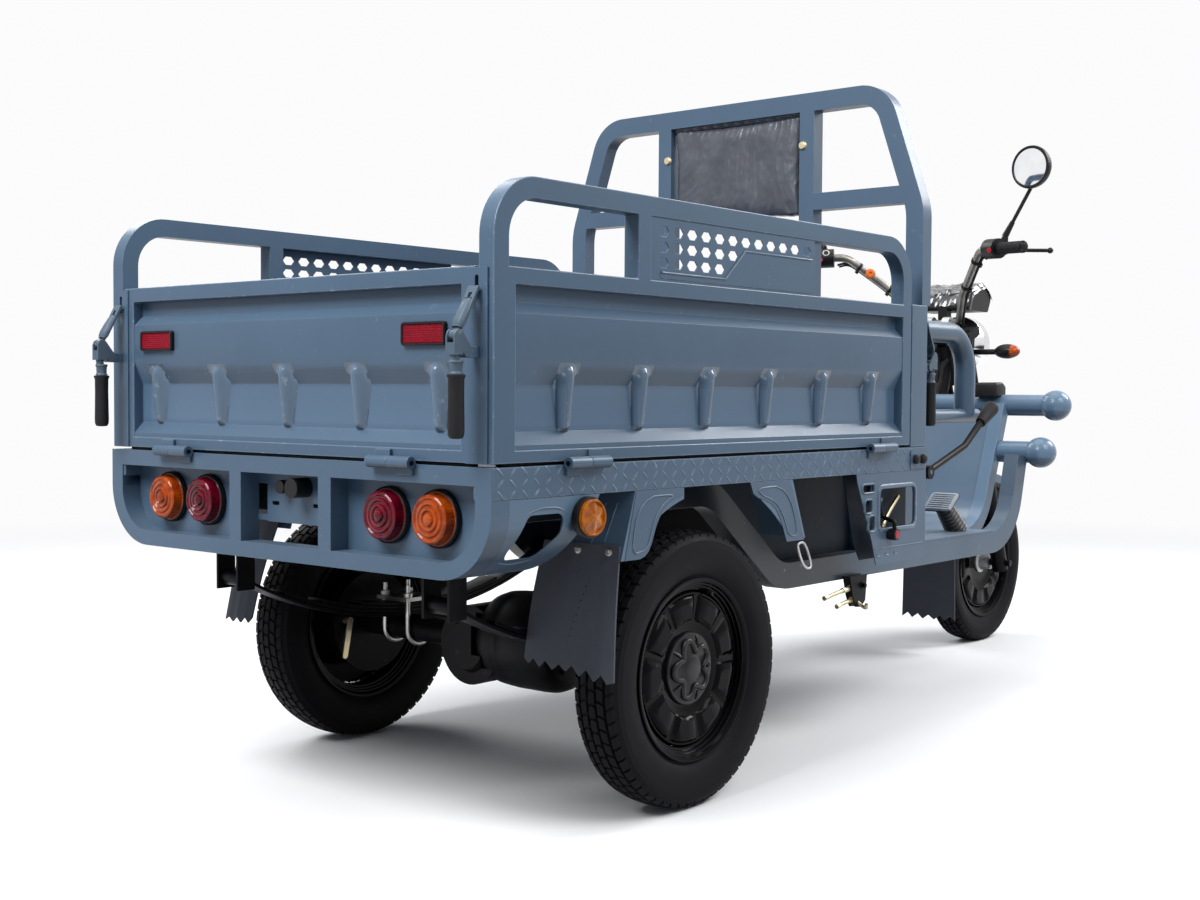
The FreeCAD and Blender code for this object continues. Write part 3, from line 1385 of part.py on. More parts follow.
def leaf_springs():
    leaves = []
    for i in range(leaf_count):
        share = (1.0, 0.78, 0.56, 0.34)[i]
        leaf = leaf_arc(share, i * (leaf_thickness + 0.4))
        if i == 0:
            half = spring_width / 2
            eyes = [rod((x, -spring_y - half, eye_z), (x, -spring_y + half, eye_z), eye_radius)
                    for x in (hanger_rear_x, hanger_front_x)]
            bores = [rod((x, -spring_y - 60, eye_z), (x, -spring_y + 60, eye_z), eye_pin_radius + 0.3)
                     for x in (hanger_rear_x, hanger_front_x)]
            leaf = fuse([leaf] + eyes).cut(Part.makeCompound(bores))
        leaves.append(leaf)
    return leaves + [mirrored(s) for s in leaves]


stack_top = axle_pad_z + leaf_count * (leaf_thickness + 0.4)


def u_bolts():
    # Two bolts round the axle for each spring, drawn up on a clamp plate.
    reach = axle_tube_radius + u_bolt_radius + 0.5
    plate_z = stack_top + 2
    half = spring_width / 2
    plate = box(rear_axle_x - reach - 14, rear_axle_x + reach + 14,
                -spring_y - half - 20, -spring_y + half + 20, plate_z, plate_z + 8)
    found = []
    for y in (-spring_y - half - 10, -spring_y + half + 10):
        path = [(rear_axle_x - reach, y, plate_z + 34), (rear_axle_x - reach, y, tyre_radius - reach),
                (rear_axle_x + reach, y, tyre_radius - reach), (rear_axle_x + reach, y, plate_z + 34)]
        bolt = bent_pipe(path, [reach - 1.5, reach - 1.5], u_bolt_radius)
        nuts = [rod((rear_axle_x + s * reach, y, plate_z + 8), (rear_axle_x + s * reach, y, plate_z + 17), 10)
                for s in (-1, 1)]
        found.append(fuse([bolt] + nuts))
    clamp = plate.cut(Part.makeCompound(found))
    found.append(clamp)
    return found + [mirrored(s) for s in found]


# Front end

def crown(along, thickness):
    plate = box(-36, 36, -fork_leg_y - 28, fork_leg_y + 28, -thickness / 2, thickness / 2)
    plate.rotate(V(0, 0, 0), V(0, 1, 0), -rake)
    plate.translate(steer_point(along))
    return plate


def fork_upper():
    # Stem in the head tube, two crowns clamped on it, and the sliding tubes.
    stem = rod(steer_point(lower_crown - 8), steer_point(upper_crown + 20), stem_radius)
    tubes = [rod(steer_point(fork_tube_bottom, y), steer_point(upper_crown + 16, y), fork_tube_radius)
             for y in (-fork_leg_y, fork_leg_y)]
    plates = []
    for along in (lower_crown, upper_crown):
        plates.append(crown(along, crown_thickness).cut(Part.makeCompound([stem] + tubes)))
    return [stem] + tubes + plates


def head_bearings():
    found = []
    for low, high in ((head_bottom, head_bottom + 16), (head_top - 16, head_top)):
        found.append(tube(steer_point(low), steer_point(high), head_radius - 6, stem_radius + running_clear))
    return found


def fork_lower():
    # Two sliding legs on the wheel spindle.
    legs = []
    for y in (-fork_leg_y, fork_leg_y):
        leg = rod(steer_point(-22, y), steer_point(fork_leg_top, y), fork_leg_radius)
        leg = leg.cut(rod(steer_point(fork_tube_bottom - 110, y), steer_point(fork_leg_top + 5, y),
                          fork_tube_radius + running_clear))
        legs.append(leg)
    reach = fork_leg_y + fork_leg_radius + 14
    spindle = rod(front_centre + V(0, -reach, 0), front_centre + V(0, reach, 0), spindle_radius)
    return [leg.cut(spindle) for leg in legs] + [spindle]


def front_guard():
    # Curved mudguard over the tyre on stays from the legs.
    outer = front_tyre_radius + front_guard_gap
    half = front_tyre_width / 2 + 6
    band = ring([(outer, -half, 0), (outer + guard_thickness, -half, 0), (outer + guard_thickness, half, 0),
                 (outer, half, 0)], front_centre, 0)
    lip = ring([(outer - 22, half - 3, 0), (outer, half - 3, 0), (outer, half, 0), (outer - 22, half, 0)],
               front_centre, 0)
    shell = fuse([band, lip, mirrored(lip)])
    cx, cz = front_centre.x, front_centre.z
    fan = [(cx, cz)]
    for turn in (guard_front, (guard_front + guard_rear) / 2, guard_rear):
        a = math.radians(turn)
        fan.append((cx + 900 * math.cos(a), cz + 900 * math.sin(a)))
    shell = shell.common(prism(fan, "xz", -2 * half, 2 * half))
    along = outer - 6
    spot = steer_point(along)
    stay = box(spot.x - 12, spot.x + 12, half, fork_leg_y - fork_leg_radius + 3, spot.z - 14, spot.z + 4)
    legs = [rod(steer_point(-22, y), steer_point(fork_leg_top, y), fork_leg_radius)
            for y in (-fork_leg_y, fork_leg_y)]
    stays = [s.cut(Part.makeCompound(legs)) for s in pair(stay)]
    return [fuse([shell] + stays)]


guard_front = 38.0
guard_rear = 172.0


def handlebar():
    x, z = bar_clamp
    gx, gy, gz = grip_end
    lead = on_grip(-58, 1)
    half = [(x, 62, z), (x - 60, 104, z + 82), tuple(lead), (gx, gy, gz)]
    path = [(a, -b, c) for a, b, c in half[::-1]] + half
    bar = bent_pipe(path, [60, 60, 34, 34, 60, 60], bar_radius)
    return [bar]


def bar_clamps():
    # Risers between the upper crown and the bar.
    x, z = bar_clamp
    seat = steer_point(upper_crown + crown_thickness / 2)
    found = []
    for y in (-clamp_y, clamp_y):
        riser = rod((seat.x, y, seat.z), (x, y, z), 13)
        ringed = fuse([riser, rod((x, y - 11, z), (x, y + 11, z), bar_radius + 8)])
        ringed = ringed.cut(rod((x, -80, z), (x, 80, z), bar_radius + bar_fit))
        found.append(ringed.cut(crown(upper_crown, crown_thickness)))
    return found


grip_way = (V(*grip_end) - V(pod_x, pod_y, pod_z)).normalize()


def on_grip(along, side):
    # Point along the grip axis from the pod's middle; side -1 is the right hand.
    p = V(pod_x, pod_y, pod_z) + grip_way * along
    return V(p.x, side * p.y, p.z)


grip_length = (V(*grip_end) - V(pod_x, pod_y, pod_z)).Length


def pod(side):
    body = rod(on_grip(-22, side), on_grip(24, side), pod_radius)
    body = body.cut(rod(on_grip(-60, side), on_grip(60, side), bar_radius + bar_fit))
    seat = on_grip(2, side)
    pocket = rod(seat + V(-pod_radius + 8, 0, -6), seat + V(-pod_radius - 20, 0, -6), button_radius + 0.3)
    perch_p = on_grip(20, side) + V(14, 0, 0)
    perch = rod(perch_p, perch_p + V(38, 0, -2), perch_radius)
    perch = perch.cut(rod(on_grip(-60, side), on_grip(60, side), bar_radius + bar_fit))
    pivot = lever_pivot(side)
    pin = rod(pivot + V(0, 0, -perch_radius - 2), pivot + V(0, 0, perch_radius + 2), lever_pin)
    return fuse([fuse([body, perch, mirror_seat(side)]).cut(lever_room(side)).cut(pocket), pin])


def lever_pivot(side):
    return on_grip(24, side) + V(40, 0, -2)


def lever_room(side):
    p = lever_pivot(side)
    ahead = box(p.x, p.x + 30, p.y - 13, p.y + 13, p.z - 5.4, p.z + 5.4)
    return fuse([rod(p + V(0, 0, -5.4), p + V(0, 0, 5.4), 13), ahead])


def bar_controls():
    left_grip = rod(on_grip(30, 1), on_grip(grip_length + 2, 1), grip_radius)
    left_grip = left_grip.cut(rod(on_grip(0, 1), on_grip(grip_length + 0.3, 1), bar_radius + bar_fit))
    return [pod(-1), pod(1), left_grip] + bar_clamps()


def throttle_grip():
    body = rod(on_grip(30, -1), on_grip(grip_length + 4, -1), grip_radius)
    return [body.cut(rod(on_grip(0, -1), on_grip(grip_length + 0.5, -1), bar_radius + running_clear))]


def brake_lever(side):
    # Blade with a ball end, turning on the perch.
    p = lever_pivot(side)
    hub = rod(p + V(0, 0, -5), p + V(0, 0, 5), 12)
    tip = p + V(-6, side * 128, -8)
    mid = p + V(10, side * 48, -2)
    blade = bent_pipe([p, mid, tip], [60], 5)
    bore = rod(p + V(0, 0, -9), p + V(0, 0, 9), lever_pin + running_clear)
    return [fuse([hub, blade, Part.makeSphere(8, tip)]).cut(bore)]


def button(side):
    seat = on_grip(2, side)
    return [rod(seat + V(-pod_radius + 8 - button_travel - 0.4, 0, -6), seat + V(-pod_radius - 4, 0, -6),
                button_radius)]


def mirror(side):
    # Stem from the perch and a round shell tilted towards the rider.
    x, y, z = mirror_centre
    base = mirror_base(side)
    head = V(x, side * y, z)
    turn = V(-math.cos(math.radians(9)), -side * math.sin(math.radians(9)), 0)
    shell = fuse([cone(head - turn * 14, head, mirror_radius * 0.8, mirror_radius),
                  rod(head, head + turn * 5, mirror_radius)])
    joint = head - turn * 14
    knee = joint + V(6, 0, -mirror_radius * 0.6)
    stem = bent_pipe([base, knee, joint + V(2, 0, -4)], [16], 5)
    boot = cone(base, base + (knee - base).normalize() * 44, 9, 6.5)
    above = box(base.x - 100, base.x + 100, base.y - 200, base.y + 200, base.z, base.z + 400)
    return [fuse([shell, stem, boot]).common(above)]


def mirror_base(side):
    return on_grip(24, side) + V(34, 0, 34)


def mirror_seat(side):
    # Threaded boss on the perch that the mirror stem stands on.
    base = mirror_base(side)
    return rod(base - V(0, 0, 30), base, 9)


def dashboard():
    # Instrument hood above the headlamp, with its bracket to the upper crown.
    x0, low = bar_clamp[0] + dash_ahead, bar_clamp[1] + dash_lift
    x1 = x0 + dash_length
    top = prism([(x0, low + 2, 10), (x0 + 20, low + 54, 14), (x0 + 95, low + 76, 18), (x1, low + 44, 16),
                 (x1 - 22, low, 12)], "xz", -dash_half_width, dash_half_width)
    seat = steer_point(upper_crown + crown_thickness / 2, 0, 20)
    bracket = box(seat.x - 2, seat.x + 26, -14, 14, seat.z - 4, low + 14)
    return [fuse([top, bracket.cut(crown(upper_crown, crown_thickness))])]


def headlamp():
    x, z = bar_clamp
    centre = V(x + lamp_ahead, 0, z - lamp_drop)
    shell = fuse([rod(centre, centre + V(34, 0, 0), headlamp_radius),
                  cone(centre, centre - V(40, 0, 0), headlamp_radius, headlamp_radius * 0.45)])
    lens = cone(centre + V(34, 0, 0), centre + V(46, 0, 0), headlamp_radius - 5, headlamp_radius * 0.7)
    arms = []
    for y in (-58, 58):
        arms.append(box(x + 30, centre.x - 12, y - 3, y + 3, centre.z - 8, centre.z + 20).cut(shell))
    return [shell, lens] + arms


def front_signals():
    # Turn signals on rubber stems beside the headlamp.
    found = []
    x, z = bar_clamp[0] + signal_ahead, bar_clamp[1] - signal_drop
    for side in (-1, 1):
        stem = rod((x, side * 65, z), (x, side * (signal_y - 28), z), 8)
        body = Part.makeSphere(1, V(0, 0, 0))
        matrix = FreeCAD.Matrix()
        matrix.scale(V(24, 38, 21))
        body = body.transformGeometry(matrix)
        body.translate(V(x + 2, side * signal_y, z + 1))
        foot = box(x - 10, x + 10, min(side * 61, side * 65), max(side * 61, side * 65), z - 10, z + 32)
        found += [stem.cut(body), body, foot]
    return found


def assemble():
    nodes = {
        "main_frame": main_frame() + [pedal_pin()],
        "cargo_bed": cargo_bed(),
        "rear_lamp_frame": rear_lamp_frame(),
        "lamp_bases": lamp_bases(),
        "red_lenses": lenses("red"),
        "amber_lenses": lenses("amber"),
        "mudguard_panels": mudguard_panels(),
        "mud_flaps": mud_flaps(),
        "headboard": headboard(),
        "backrest_pad": [backrest_pad()],
        "seat_frame": seat_frame(),
        "seat_cushion": seat_cushion(),
        "footboard": footboard(),
        "front_bumper": front_bumper(),
        "leg_shield": leg_shield(),
        "head_bearings": head_bearings(),
        "battery_pack": battery_pack(),
        "pins_and_caps": hinge_pins(),
        "pedal_boot": pedal_boot(),
        "axle_housing": rear_axle(),
        "drive_motor": drive_motor(),
        "u_bolts": u_bolts(),
        "leaf_springs": leaf_springs(),
        "fork_upper": fork_upper(),
        "handlebar": handlebar(),
        "bar_controls": bar_controls(),
        "dashboard": dashboard(),
        "headlamp": headlamp(),
        "front_signals": front_signals(),
        "fork_legs": fork_lower(),
        "front_mudguard": front_guard(),
        "tyre_front": [tyre(front_tyre_radius, front_tyre_width, front_centre, 0)],
        "rim_front": front_rim(front_tyre_width, front_centre),
        "throttle_grip": throttle_grip(),
        "brake_lever_right": brake_lever(-1),
        "brake_lever_left": brake_lever(1),
        "mirror_right": mirror(-1),
        "mirror_left": mirror(1),
        "horn_button": button(1),
        "start_button": button(-1),
        "tailgate": tailgate(),
        "tailgate_reflectors": reflectors(),
        "side_gate_right": side_gate(),
        "side_gate_left": [mirrored(s) for s in side_gate()],
        "parking_lever": park_lever(),
        "brake_pedal": brake_pedal(),
        "gear_lever": gear_lever(),
    }
    for side, name in ((-1, "right"), (1, "left")):
        y = side * track_half
        nodes["tyre_rear_" + name] = [tyre(tyre_radius, tyre_width, wheel_centre, y)]
        nodes["rim_rear_" + name] = rim(tyre_width, wheel_centre, y, side)
        rear_y, front_y = side * latch_y_rear, side * latch_y_front
        nodes["tail_latch_handle_" + name] = latch_handle(0, -1, rear_y)
        nodes["tail_latch_hook_" + name] = latch_hook(0, -1, rear_y)
        nodes["front_latch_handle_" + name] = latch_handle(bed_length, 1, front_y)
        nodes["front_latch_hook_" + name] = latch_hook(bed_length, 1, front_y)
    return nodes


rear_end = -(latch_elbow_out + 1.0 + latch_neck_reach)
front_end = front_axle_x + front_tyre_radius
middle_x = (rear_end + front_end) / 2


def main():
    os.makedirs("parts", exist_ok=True)
    for name, solids in assemble().items():
        whole = Part.makeCompound(solids)
        whole.translate(V(-middle_x, 0, 0))
        whole.exportStep("parts/" + name + ".step")


main()
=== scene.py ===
import bpy
import bmesh
import json
import math
import random
from mathutils import Matrix, Vector, noise


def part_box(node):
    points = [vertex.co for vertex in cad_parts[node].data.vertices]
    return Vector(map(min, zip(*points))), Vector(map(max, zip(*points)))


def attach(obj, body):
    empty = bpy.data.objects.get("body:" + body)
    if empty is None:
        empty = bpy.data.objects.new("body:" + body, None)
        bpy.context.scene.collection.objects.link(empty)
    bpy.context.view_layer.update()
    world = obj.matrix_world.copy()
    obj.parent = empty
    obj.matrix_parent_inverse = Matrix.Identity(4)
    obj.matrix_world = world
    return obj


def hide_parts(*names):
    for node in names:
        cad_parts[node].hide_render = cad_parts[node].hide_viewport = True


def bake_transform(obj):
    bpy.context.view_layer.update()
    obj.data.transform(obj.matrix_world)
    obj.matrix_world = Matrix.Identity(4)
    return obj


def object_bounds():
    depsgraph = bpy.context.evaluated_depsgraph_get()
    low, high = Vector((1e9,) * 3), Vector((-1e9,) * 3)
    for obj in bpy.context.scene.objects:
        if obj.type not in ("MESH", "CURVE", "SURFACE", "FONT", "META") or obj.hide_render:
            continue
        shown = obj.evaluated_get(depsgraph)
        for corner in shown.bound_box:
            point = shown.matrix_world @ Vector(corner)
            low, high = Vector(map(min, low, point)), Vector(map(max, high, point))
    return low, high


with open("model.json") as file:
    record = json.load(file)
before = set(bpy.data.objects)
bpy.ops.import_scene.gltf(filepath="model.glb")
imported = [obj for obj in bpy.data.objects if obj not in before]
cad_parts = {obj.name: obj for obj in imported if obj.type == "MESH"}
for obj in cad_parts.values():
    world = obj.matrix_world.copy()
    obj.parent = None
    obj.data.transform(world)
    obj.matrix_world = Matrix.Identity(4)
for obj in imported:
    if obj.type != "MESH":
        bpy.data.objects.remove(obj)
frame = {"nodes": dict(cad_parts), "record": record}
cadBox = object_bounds()
scene = bpy.context.scene
nodes = frame["nodes"]
record = frame["record"]
bodyOf = {node: body for body, members in record["behaviour"]["bodies"].items() for node in members}
bothSides = (-1, 1)  # right, left
print("frame loaded:", len(nodes), "nodes")


# Shader helpers

def setSockets(tree, node, sockets):
    # a number or colour is set on the socket itself, anything else is linked to it
    for key, value in sockets.items():
        if isinstance(value, (int, float, tuple)):
            node.inputs[key].default_value = value
        else:
            tree.links.new(value, node.inputs[key])


def addNode(tree, kind, sockets):
    node = tree.nodes.new(kind)
    setSockets(tree, node, sockets)
    return node.outputs


def startFinish(name):
    finish = bpy.data.materials.new(name)
    finish.use_nodes = True
    tree = finish.node_tree
    place = addNode(tree, "ShaderNodeTexCoord", {})["Object"]
    return finish, tree, tree.nodes["Principled BSDF"], place


def grain(tree, place, scale, detail=4.0, rough=0.55):
    sockets = {"Vector": place, "Scale": scale, "Detail": detail, "Roughness": rough}
    return addNode(tree, "ShaderNodeTexNoise", sockets)[0]


def spread(tree, value, low, high, outLow=0.0, outHigh=1.0):
    sockets = {"Value": value, "From Min": low, "From Max": high, "To Min": outLow, "To Max": outHigh}
    return addNode(tree, "ShaderNodeMapRange", sockets)[0]


def sums(tree, kind, a, b):
    node = tree.nodes.new("ShaderNodeMath")
    node.operation = kind
    setSockets(tree, node, {0: a, 1: b})
    return node.outputs[0]


def tint(tree, amount, a, b):
    node = tree.nodes.new("ShaderNodeMix")
    node.data_type = "RGBA"
    a, b = ((*colour, 1) if isinstance(colour, tuple) else colour for colour in (a, b))
    setSockets(tree, node, {0: amount, 6: a, 7: b})
    return node.outputs[2]


def axisOf(tree, vector, axis):
    return addNode(tree, "ShaderNodeSeparateXYZ", {0: vector})[axis]


def raised(tree, shader, height, distance, strength):
    sockets = {"Height": height, "Distance": distance, "Strength": strength}
    bump = addNode(tree, "ShaderNodeBump", sockets)
    tree.links.new(bump[0], shader.inputs["Normal"])


def viewedOnly(tree):
    # 1 for what the camera sees directly, in metal or through glass
    path = addNode(tree, "ShaderNodeLightPath", {})
    seen = sums(tree, "MAXIMUM", path["Is Camera Ray"], path["Is Transmission Ray"])
    return sums(tree, "MAXIMUM", seen, path["Is Glossy Ray"])


# Camera, floor and light

shot = {
    "place": (-3.0382, -2.0682, 0.7476),
    "yaw": 39.825, "pitch": -2.22, "roll": 0.377,  # degrees, yaw from +X
    "lens": 45.44, "sensor": 36.0,
}
studio = {
    "floorColour": (0.86, 0.86, 0.87), "floorBounce": (0.22, 0.23, 0.25), "floorSize": 40.0,
    "floorFade": (2.2, 6.0),  # metres from the middle, where the floor turns into backdrop
    "backdrop": (0.97, 0.97, 0.98), "fill": (0.55, 0.60, 0.66), "fillStrength": 0.34,
    "lamps": [  # name, place, aim, size, watts
        ("key", (-0.6, -4.0, 4.4), (0, 0, 0.6), 3.2, 165),
        ("top", (0.3, 0.4, 4.8), (0, 0, 0.5), 3.6, 80),
        ("rear", (-4.6, 0.3, 4.4), (-0.8, 0, 0.6), 3.0, 345),
        ("front", (3.6, -2.0, 3.4), (0.9, 0, 0.6), 2.4, 150),
        ("left", (0.6, 4.2, 3.8), (0, 0, 0.6), 3.0, 110),
    ],
}


def setCamera():
    yaw, pitch, roll = (math.radians(shot[k]) for k in ("yaw", "pitch", "roll"))
    ahead = Vector((math.cos(pitch) * math.cos(yaw), math.cos(pitch) * math.sin(yaw), math.sin(pitch)))
    right = ahead.cross(Vector((0, 0, 1))).normalized()
    up = right.cross(ahead)
    side = right * math.cos(roll) + up * math.sin(roll)
    top = up * math.cos(roll) - right * math.sin(roll)
    data = bpy.data.cameras.new("photoCamera")
    data.lens, data.sensor_width, data.sensor_fit = shot["lens"], shot["sensor"], "HORIZONTAL"
    data.clip_end = 100
    camera = bpy.data.objects.new("photoCamera", data)
    turn = Matrix((side, top, -ahead)).transposed().to_4x4()
    camera.matrix_world = Matrix.Translation(shot["place"]) @ turn
    scene.collection.objects.link(camera)
    scene.camera = camera


def setWorld():
    world = bpy.data.worlds.new("studioWorld")
    scene.world = world
    world.use_nodes = True
    tree = world.node_tree
    tree.nodes.clear()
    fill, pale = (addNode(tree, "ShaderNodeBackground", {"Color": (*studio[key], 1), "Strength": strength})[0]
                  for key, strength in (("fill", studio["fillStrength"]), ("backdrop", 1.0)))
    light = addNode(tree, "ShaderNodeMixShader", {0: viewedOnly(tree), 1: fill, 2: pale})
    addNode(tree, "ShaderNodeOutputWorld", {"Surface": light[0]})


def setFloor():
    half = studio["floorSize"] / 2
    mesh = bpy.data.meshes.new("studioFloor")
    corners = [(-half, -half, 0), (half, -half, 0), (half, half, 0), (-half, half, 0)]
    mesh.from_pydata(corners, [], [(0, 1, 2, 3)])
    floor = bpy.data.objects.new("studioFloor", mesh)
    scene.collection.objects.link(floor)
    pale, tree, shader, place = startFinish("paleFloor")
    seen = viewedOnly(tree)
    setSockets(tree, shader, {
        "Base Color": tint(tree, seen, studio["floorBounce"], studio["floorColour"]),
        "Roughness": 0.9, "Specular IOR Level": 0.1})
    glow = addNode(tree, "ShaderNodeEmission", {"Color": (*studio["backdrop"], 1)})
    reach = tree.nodes.new("ShaderNodeVectorMath")
    reach.operation = "LENGTH"
    setSockets(tree, reach, {0: place})
    away = spread(tree, reach.outputs["Value"], *studio["floorFade"])
    away.node.interpolation_type = "SMOOTHSTEP"
    glowing = sums(tree, "MULTIPLY", away, seen)
    surface = addNode(tree, "ShaderNodeMixShader", {0: glowing, 1: shader.outputs[0], 2: glow[0]})
    tree.links.new(surface[0], tree.nodes["Material Output"].inputs["Surface"])
    mesh.materials.append(pale)


def setLamps():
    for name, place, aim, size, watts in studio["lamps"]:
        data = bpy.data.lights.new(name, "AREA")
        data.shape, data.size, data.energy = "DISK", size, watts
        lamp = bpy.data.objects.new(name, data)
        lamp.location = place
        lamp.rotation_euler = (Vector(aim) - Vector(place)).to_track_quat("-Z", "Y").to_euler()
        scene.collection.objects.link(lamp)


scene.view_settings.view_transform = "Standard"
setCamera()
setWorld()
setFloor()
setLamps()
print("camera and studio set")


# Finishes

enamel = {
    "drift": 4.0, "speck": 170.0, "drops": 75.0, "dropPatches": 6.5,
    "rubs": 46.0, "shadeSplashes": 9.0, "peel": 330.0,
    "dust": (0.42, 0.43, 0.42), "shadeAndSoil": (0.012, 0.016, 0.021), "coatRough": 0.12,
}


def shade(colour, by):
    return tuple(by * c for c in colour)


def paint(name, colour, worn, chipped=0.06, rough=(0.30, 0.44), coat=0.08, dust=0.10, gloss=0.3,
          grime=None, field=None):
    # sprayed enamel: slow drift, dust on upward faces, painted shade under downward faces, pale rubs, dry
    # drops, orange peel
    finish, tree, shader, place = startFinish(name)
    drift = grain(tree, place, enamel["drift"], 5)
    speck = grain(tree, place, enamel["speck"], 3)
    slope = axisOf(tree, addNode(tree, "ShaderNodeNewGeometry", {})["Normal"], "Z")
    upward = sums(tree, "MULTIPLY", spread(tree, slope, 0.55, 1.0, 0, dust), speck)
    base = tint(tree, spread(tree, drift, 0.3, 0.7), colour, shade(colour, 0.86))
    base = tint(tree, upward, base, enamel["dust"])
    # painted shade: faces turned downward darken toward 0.3 of the colour
    base = tint(tree, spread(tree, slope, -0.25, -0.40, 0, 0.55), base, shade(colour, 0.3))
    dull = spread(tree, sums(tree, "ADD", drift, upward), 0.3, 0.9, *rough)
    if field:  # pressed field below this height: a lighter band of painted reflection, with glossier paint
        high = axisOf(tree, place, "Z")
        fieldSheen = sums(tree, "MULTIPLY", spread(tree, high, field - 0.004, field + 0.004, 1, 0),
                    spread(tree, high, field - 0.074, field - 0.060))
        base = tint(tree, fieldSheen, base, tint(tree, drift, shade(colour, 1.30), shade(colour, 1.16)))
        dull = sums(tree, "MULTIPLY", dull, spread(tree, fieldSheen, 0, 1, 1, 0.5))
    if grime:  # darker on what lies behind this frame x, under the bed: painted shade with road soiling
        shadeSplash = spread(tree, grain(tree, place, enamel["shadeSplashes"], 4), 0, 1, -0.05, 0.05)
        shadeAndSoilX = sums(tree, "ADD", axisOf(tree, place, "X"), shadeSplash)
        base = tint(tree, spread(tree, shadeAndSoilX, grime - 0.06, grime + 0.06, 1, 0), base, enamel["shadeAndSoil"])
    drops = addNode(tree, "ShaderNodeTexVoronoi", {"Vector": place, "Scale": enamel["drops"]})["Distance"]
    patches = spread(tree, grain(tree, place, enamel["dropPatches"], 3), 0.60, 0.66, 0, 0.7)
    base = tint(tree, sums(tree, "MULTIPLY", spread(tree, drops, 0.10, 0.16, 1, 0), patches), base, worn)
    rub = spread(tree, grain(tree, place, enamel["rubs"], 6, 0.7), 0.66 - chipped, 0.76 - chipped)
    setSockets(tree, shader, {
        "Base Color": tint(tree, rub, base, worn), "Roughness": dull, "Specular IOR Level": gloss,
        "Coat Weight": coat, "Coat Roughness": enamel["coatRough"]})
    raised(tree, shader, grain(tree, place, enamel["peel"], 2), 0.00025, 0.5)
    return finish


def metal(name, colour, dull, rough, scratch=0.35, scale=(40, 40, 400)):
    # bare or plated metal: brushed streaks, dull blooms
    finish, tree, shader, place = startFinish(name)
    stretch = addNode(tree, "ShaderNodeMapping", {"Vector": place, "Scale": scale})[0]
    streak = grain(tree, stretch, 1.0, 4)
    bloom = grain(tree, place, 24.0, 5)
    setSockets(tree, shader, {
        "Base Color": tint(tree, spread(tree, bloom, 0.4, 0.65), colour, dull), "Metallic": 1.0,
        "Roughness": spread(tree, sums(tree, "ADD", streak, bloom), 0.6, 1.4, *rough)})
    raised(tree, shader, streak, 0.00012, scratch)
    return finish


def moulded(name, colour, pale, rough, scale=520.0, depth=0.0003, dust=0.2, coat=0.0, gloss=0.2):
    # rubber and moulded plastic: fine pebble grain, greyed blooms
    finish, tree, shader, place = startFinish(name)
    bloom = grain(tree, place, 14.0, 6, 0.6)
    setSockets(tree, shader, {
        "Base Color": tint(tree, spread(tree, bloom, 0.42, 0.72, 0, dust), colour, pale),
        "Roughness": spread(tree, bloom, 0.3, 0.7, *rough), "Specular IOR Level": gloss, "Coat Weight": coat})
    raised(tree, shader, grain(tree, place, scale, 3), depth, 0.6)
    return finish


def lensPlastic(name, colour, deep, through=0.0):
    finish, tree, shader, place = startFinish(name)
    flow = grain(tree, place, 60.0, 3)
    setSockets(tree, shader, {
        "Base Color": tint(tree, spread(tree, flow, 0.35, 0.65), colour, deep),
        "Roughness": spread(tree, flow, 0.3, 0.7, 0.05, 0.12),
        "Transmission Weight": through, "IOR": 1.49, "Specular IOR Level": 0.25})
    raised(tree, shader, flow, 0.0002, 0.3)
    return finish


paints = {  # colour, colour where rubbed, chips, roughness, coat, dust, gloss
    "slatePaint": ((0.073, 0.124, 0.190), (0.13, 0.185, 0.25), 0.02),
    "slateEdge": ((0.105, 0.162, 0.232), (0.20, 0.25, 0.31), 0.10),
    "gatePaint": ((0.076, 0.128, 0.196), (0.13, 0.19, 0.26), 0.02, (0.32, 0.46), 0.05, 0.03, 0.22),
    "fieldPaint": ((0.076, 0.128, 0.196), (0.13, 0.19, 0.26), 0.02, (0.32, 0.46), 0.05, 0.03, 0.26),
    # ribPaint: lighter than the gate paint, a painted highlight on the rib nubs, and glossier
    "ribPaint": ((0.094, 0.153, 0.227), (0.20, 0.25, 0.31), 0.08, (0.16, 0.28), 0.2, 0.06, 0.45),
    "gateEdge": ((0.112, 0.172, 0.245), (0.22, 0.27, 0.33), 0.10),
    # guardPaint: a lighter copy of the slate paint, painted light on the mudguard panels in the skirt's shade
    "guardPaint": ((0.105, 0.172, 0.255), (0.15, 0.21, 0.28), 0.02),
    # railPaint: a darker copy of the slate paint for the main frame and the seat box, painted shade under the
    # bed
    "railPaint": ((0.070, 0.112, 0.165), (0.12, 0.16, 0.21), 0.03),
    "shieldPaint": ((0.105, 0.168, 0.248), (0.14, 0.20, 0.27), 0.02, (0.14, 0.26), 0.4),
    "deckPaint": ((0.085, 0.135, 0.195), (0.20, 0.24, 0.28), 0.08, (0.38, 0.6), 0.05, 0.25),
    # bumperPaint: a lighter copy of the slate paint, painted light on the front bumper
    "bumperPaint": ((0.132, 0.214, 0.316), (0.17, 0.24, 0.32), 0.02, (0.2, 0.34), 0.15),
    "shadePaint": ((0.011, 0.019, 0.031), (0.03, 0.04, 0.055), 0.02, (0.4, 0.55), 0.0, 0.02, 0.1),
    "darkSteel": ((0.0045, 0.0048, 0.0058), (0.02, 0.02, 0.021), 0.05, (0.34, 0.55), 0.0, 0.04, 0.09),
    "rimBlack": ((0.0022, 0.0023, 0.0031), (0.006, 0.006, 0.007), 0.02, (0.08, 0.16), 0.0, 0.02, 0.055),
    "latchCast": ((0.075, 0.112, 0.155), (0.20, 0.22, 0.24), 0.08, (0.4, 0.58), 0.0, 0.05),
}
# railPaint also darkens behind frame x -0.14: painted shade under the bed, with road soiling
paintExtras = {"fieldPaint": {"field": 0.755}, "railPaint": {"grime": -0.14}, "shieldPaint": {"gloss": 0.5}}
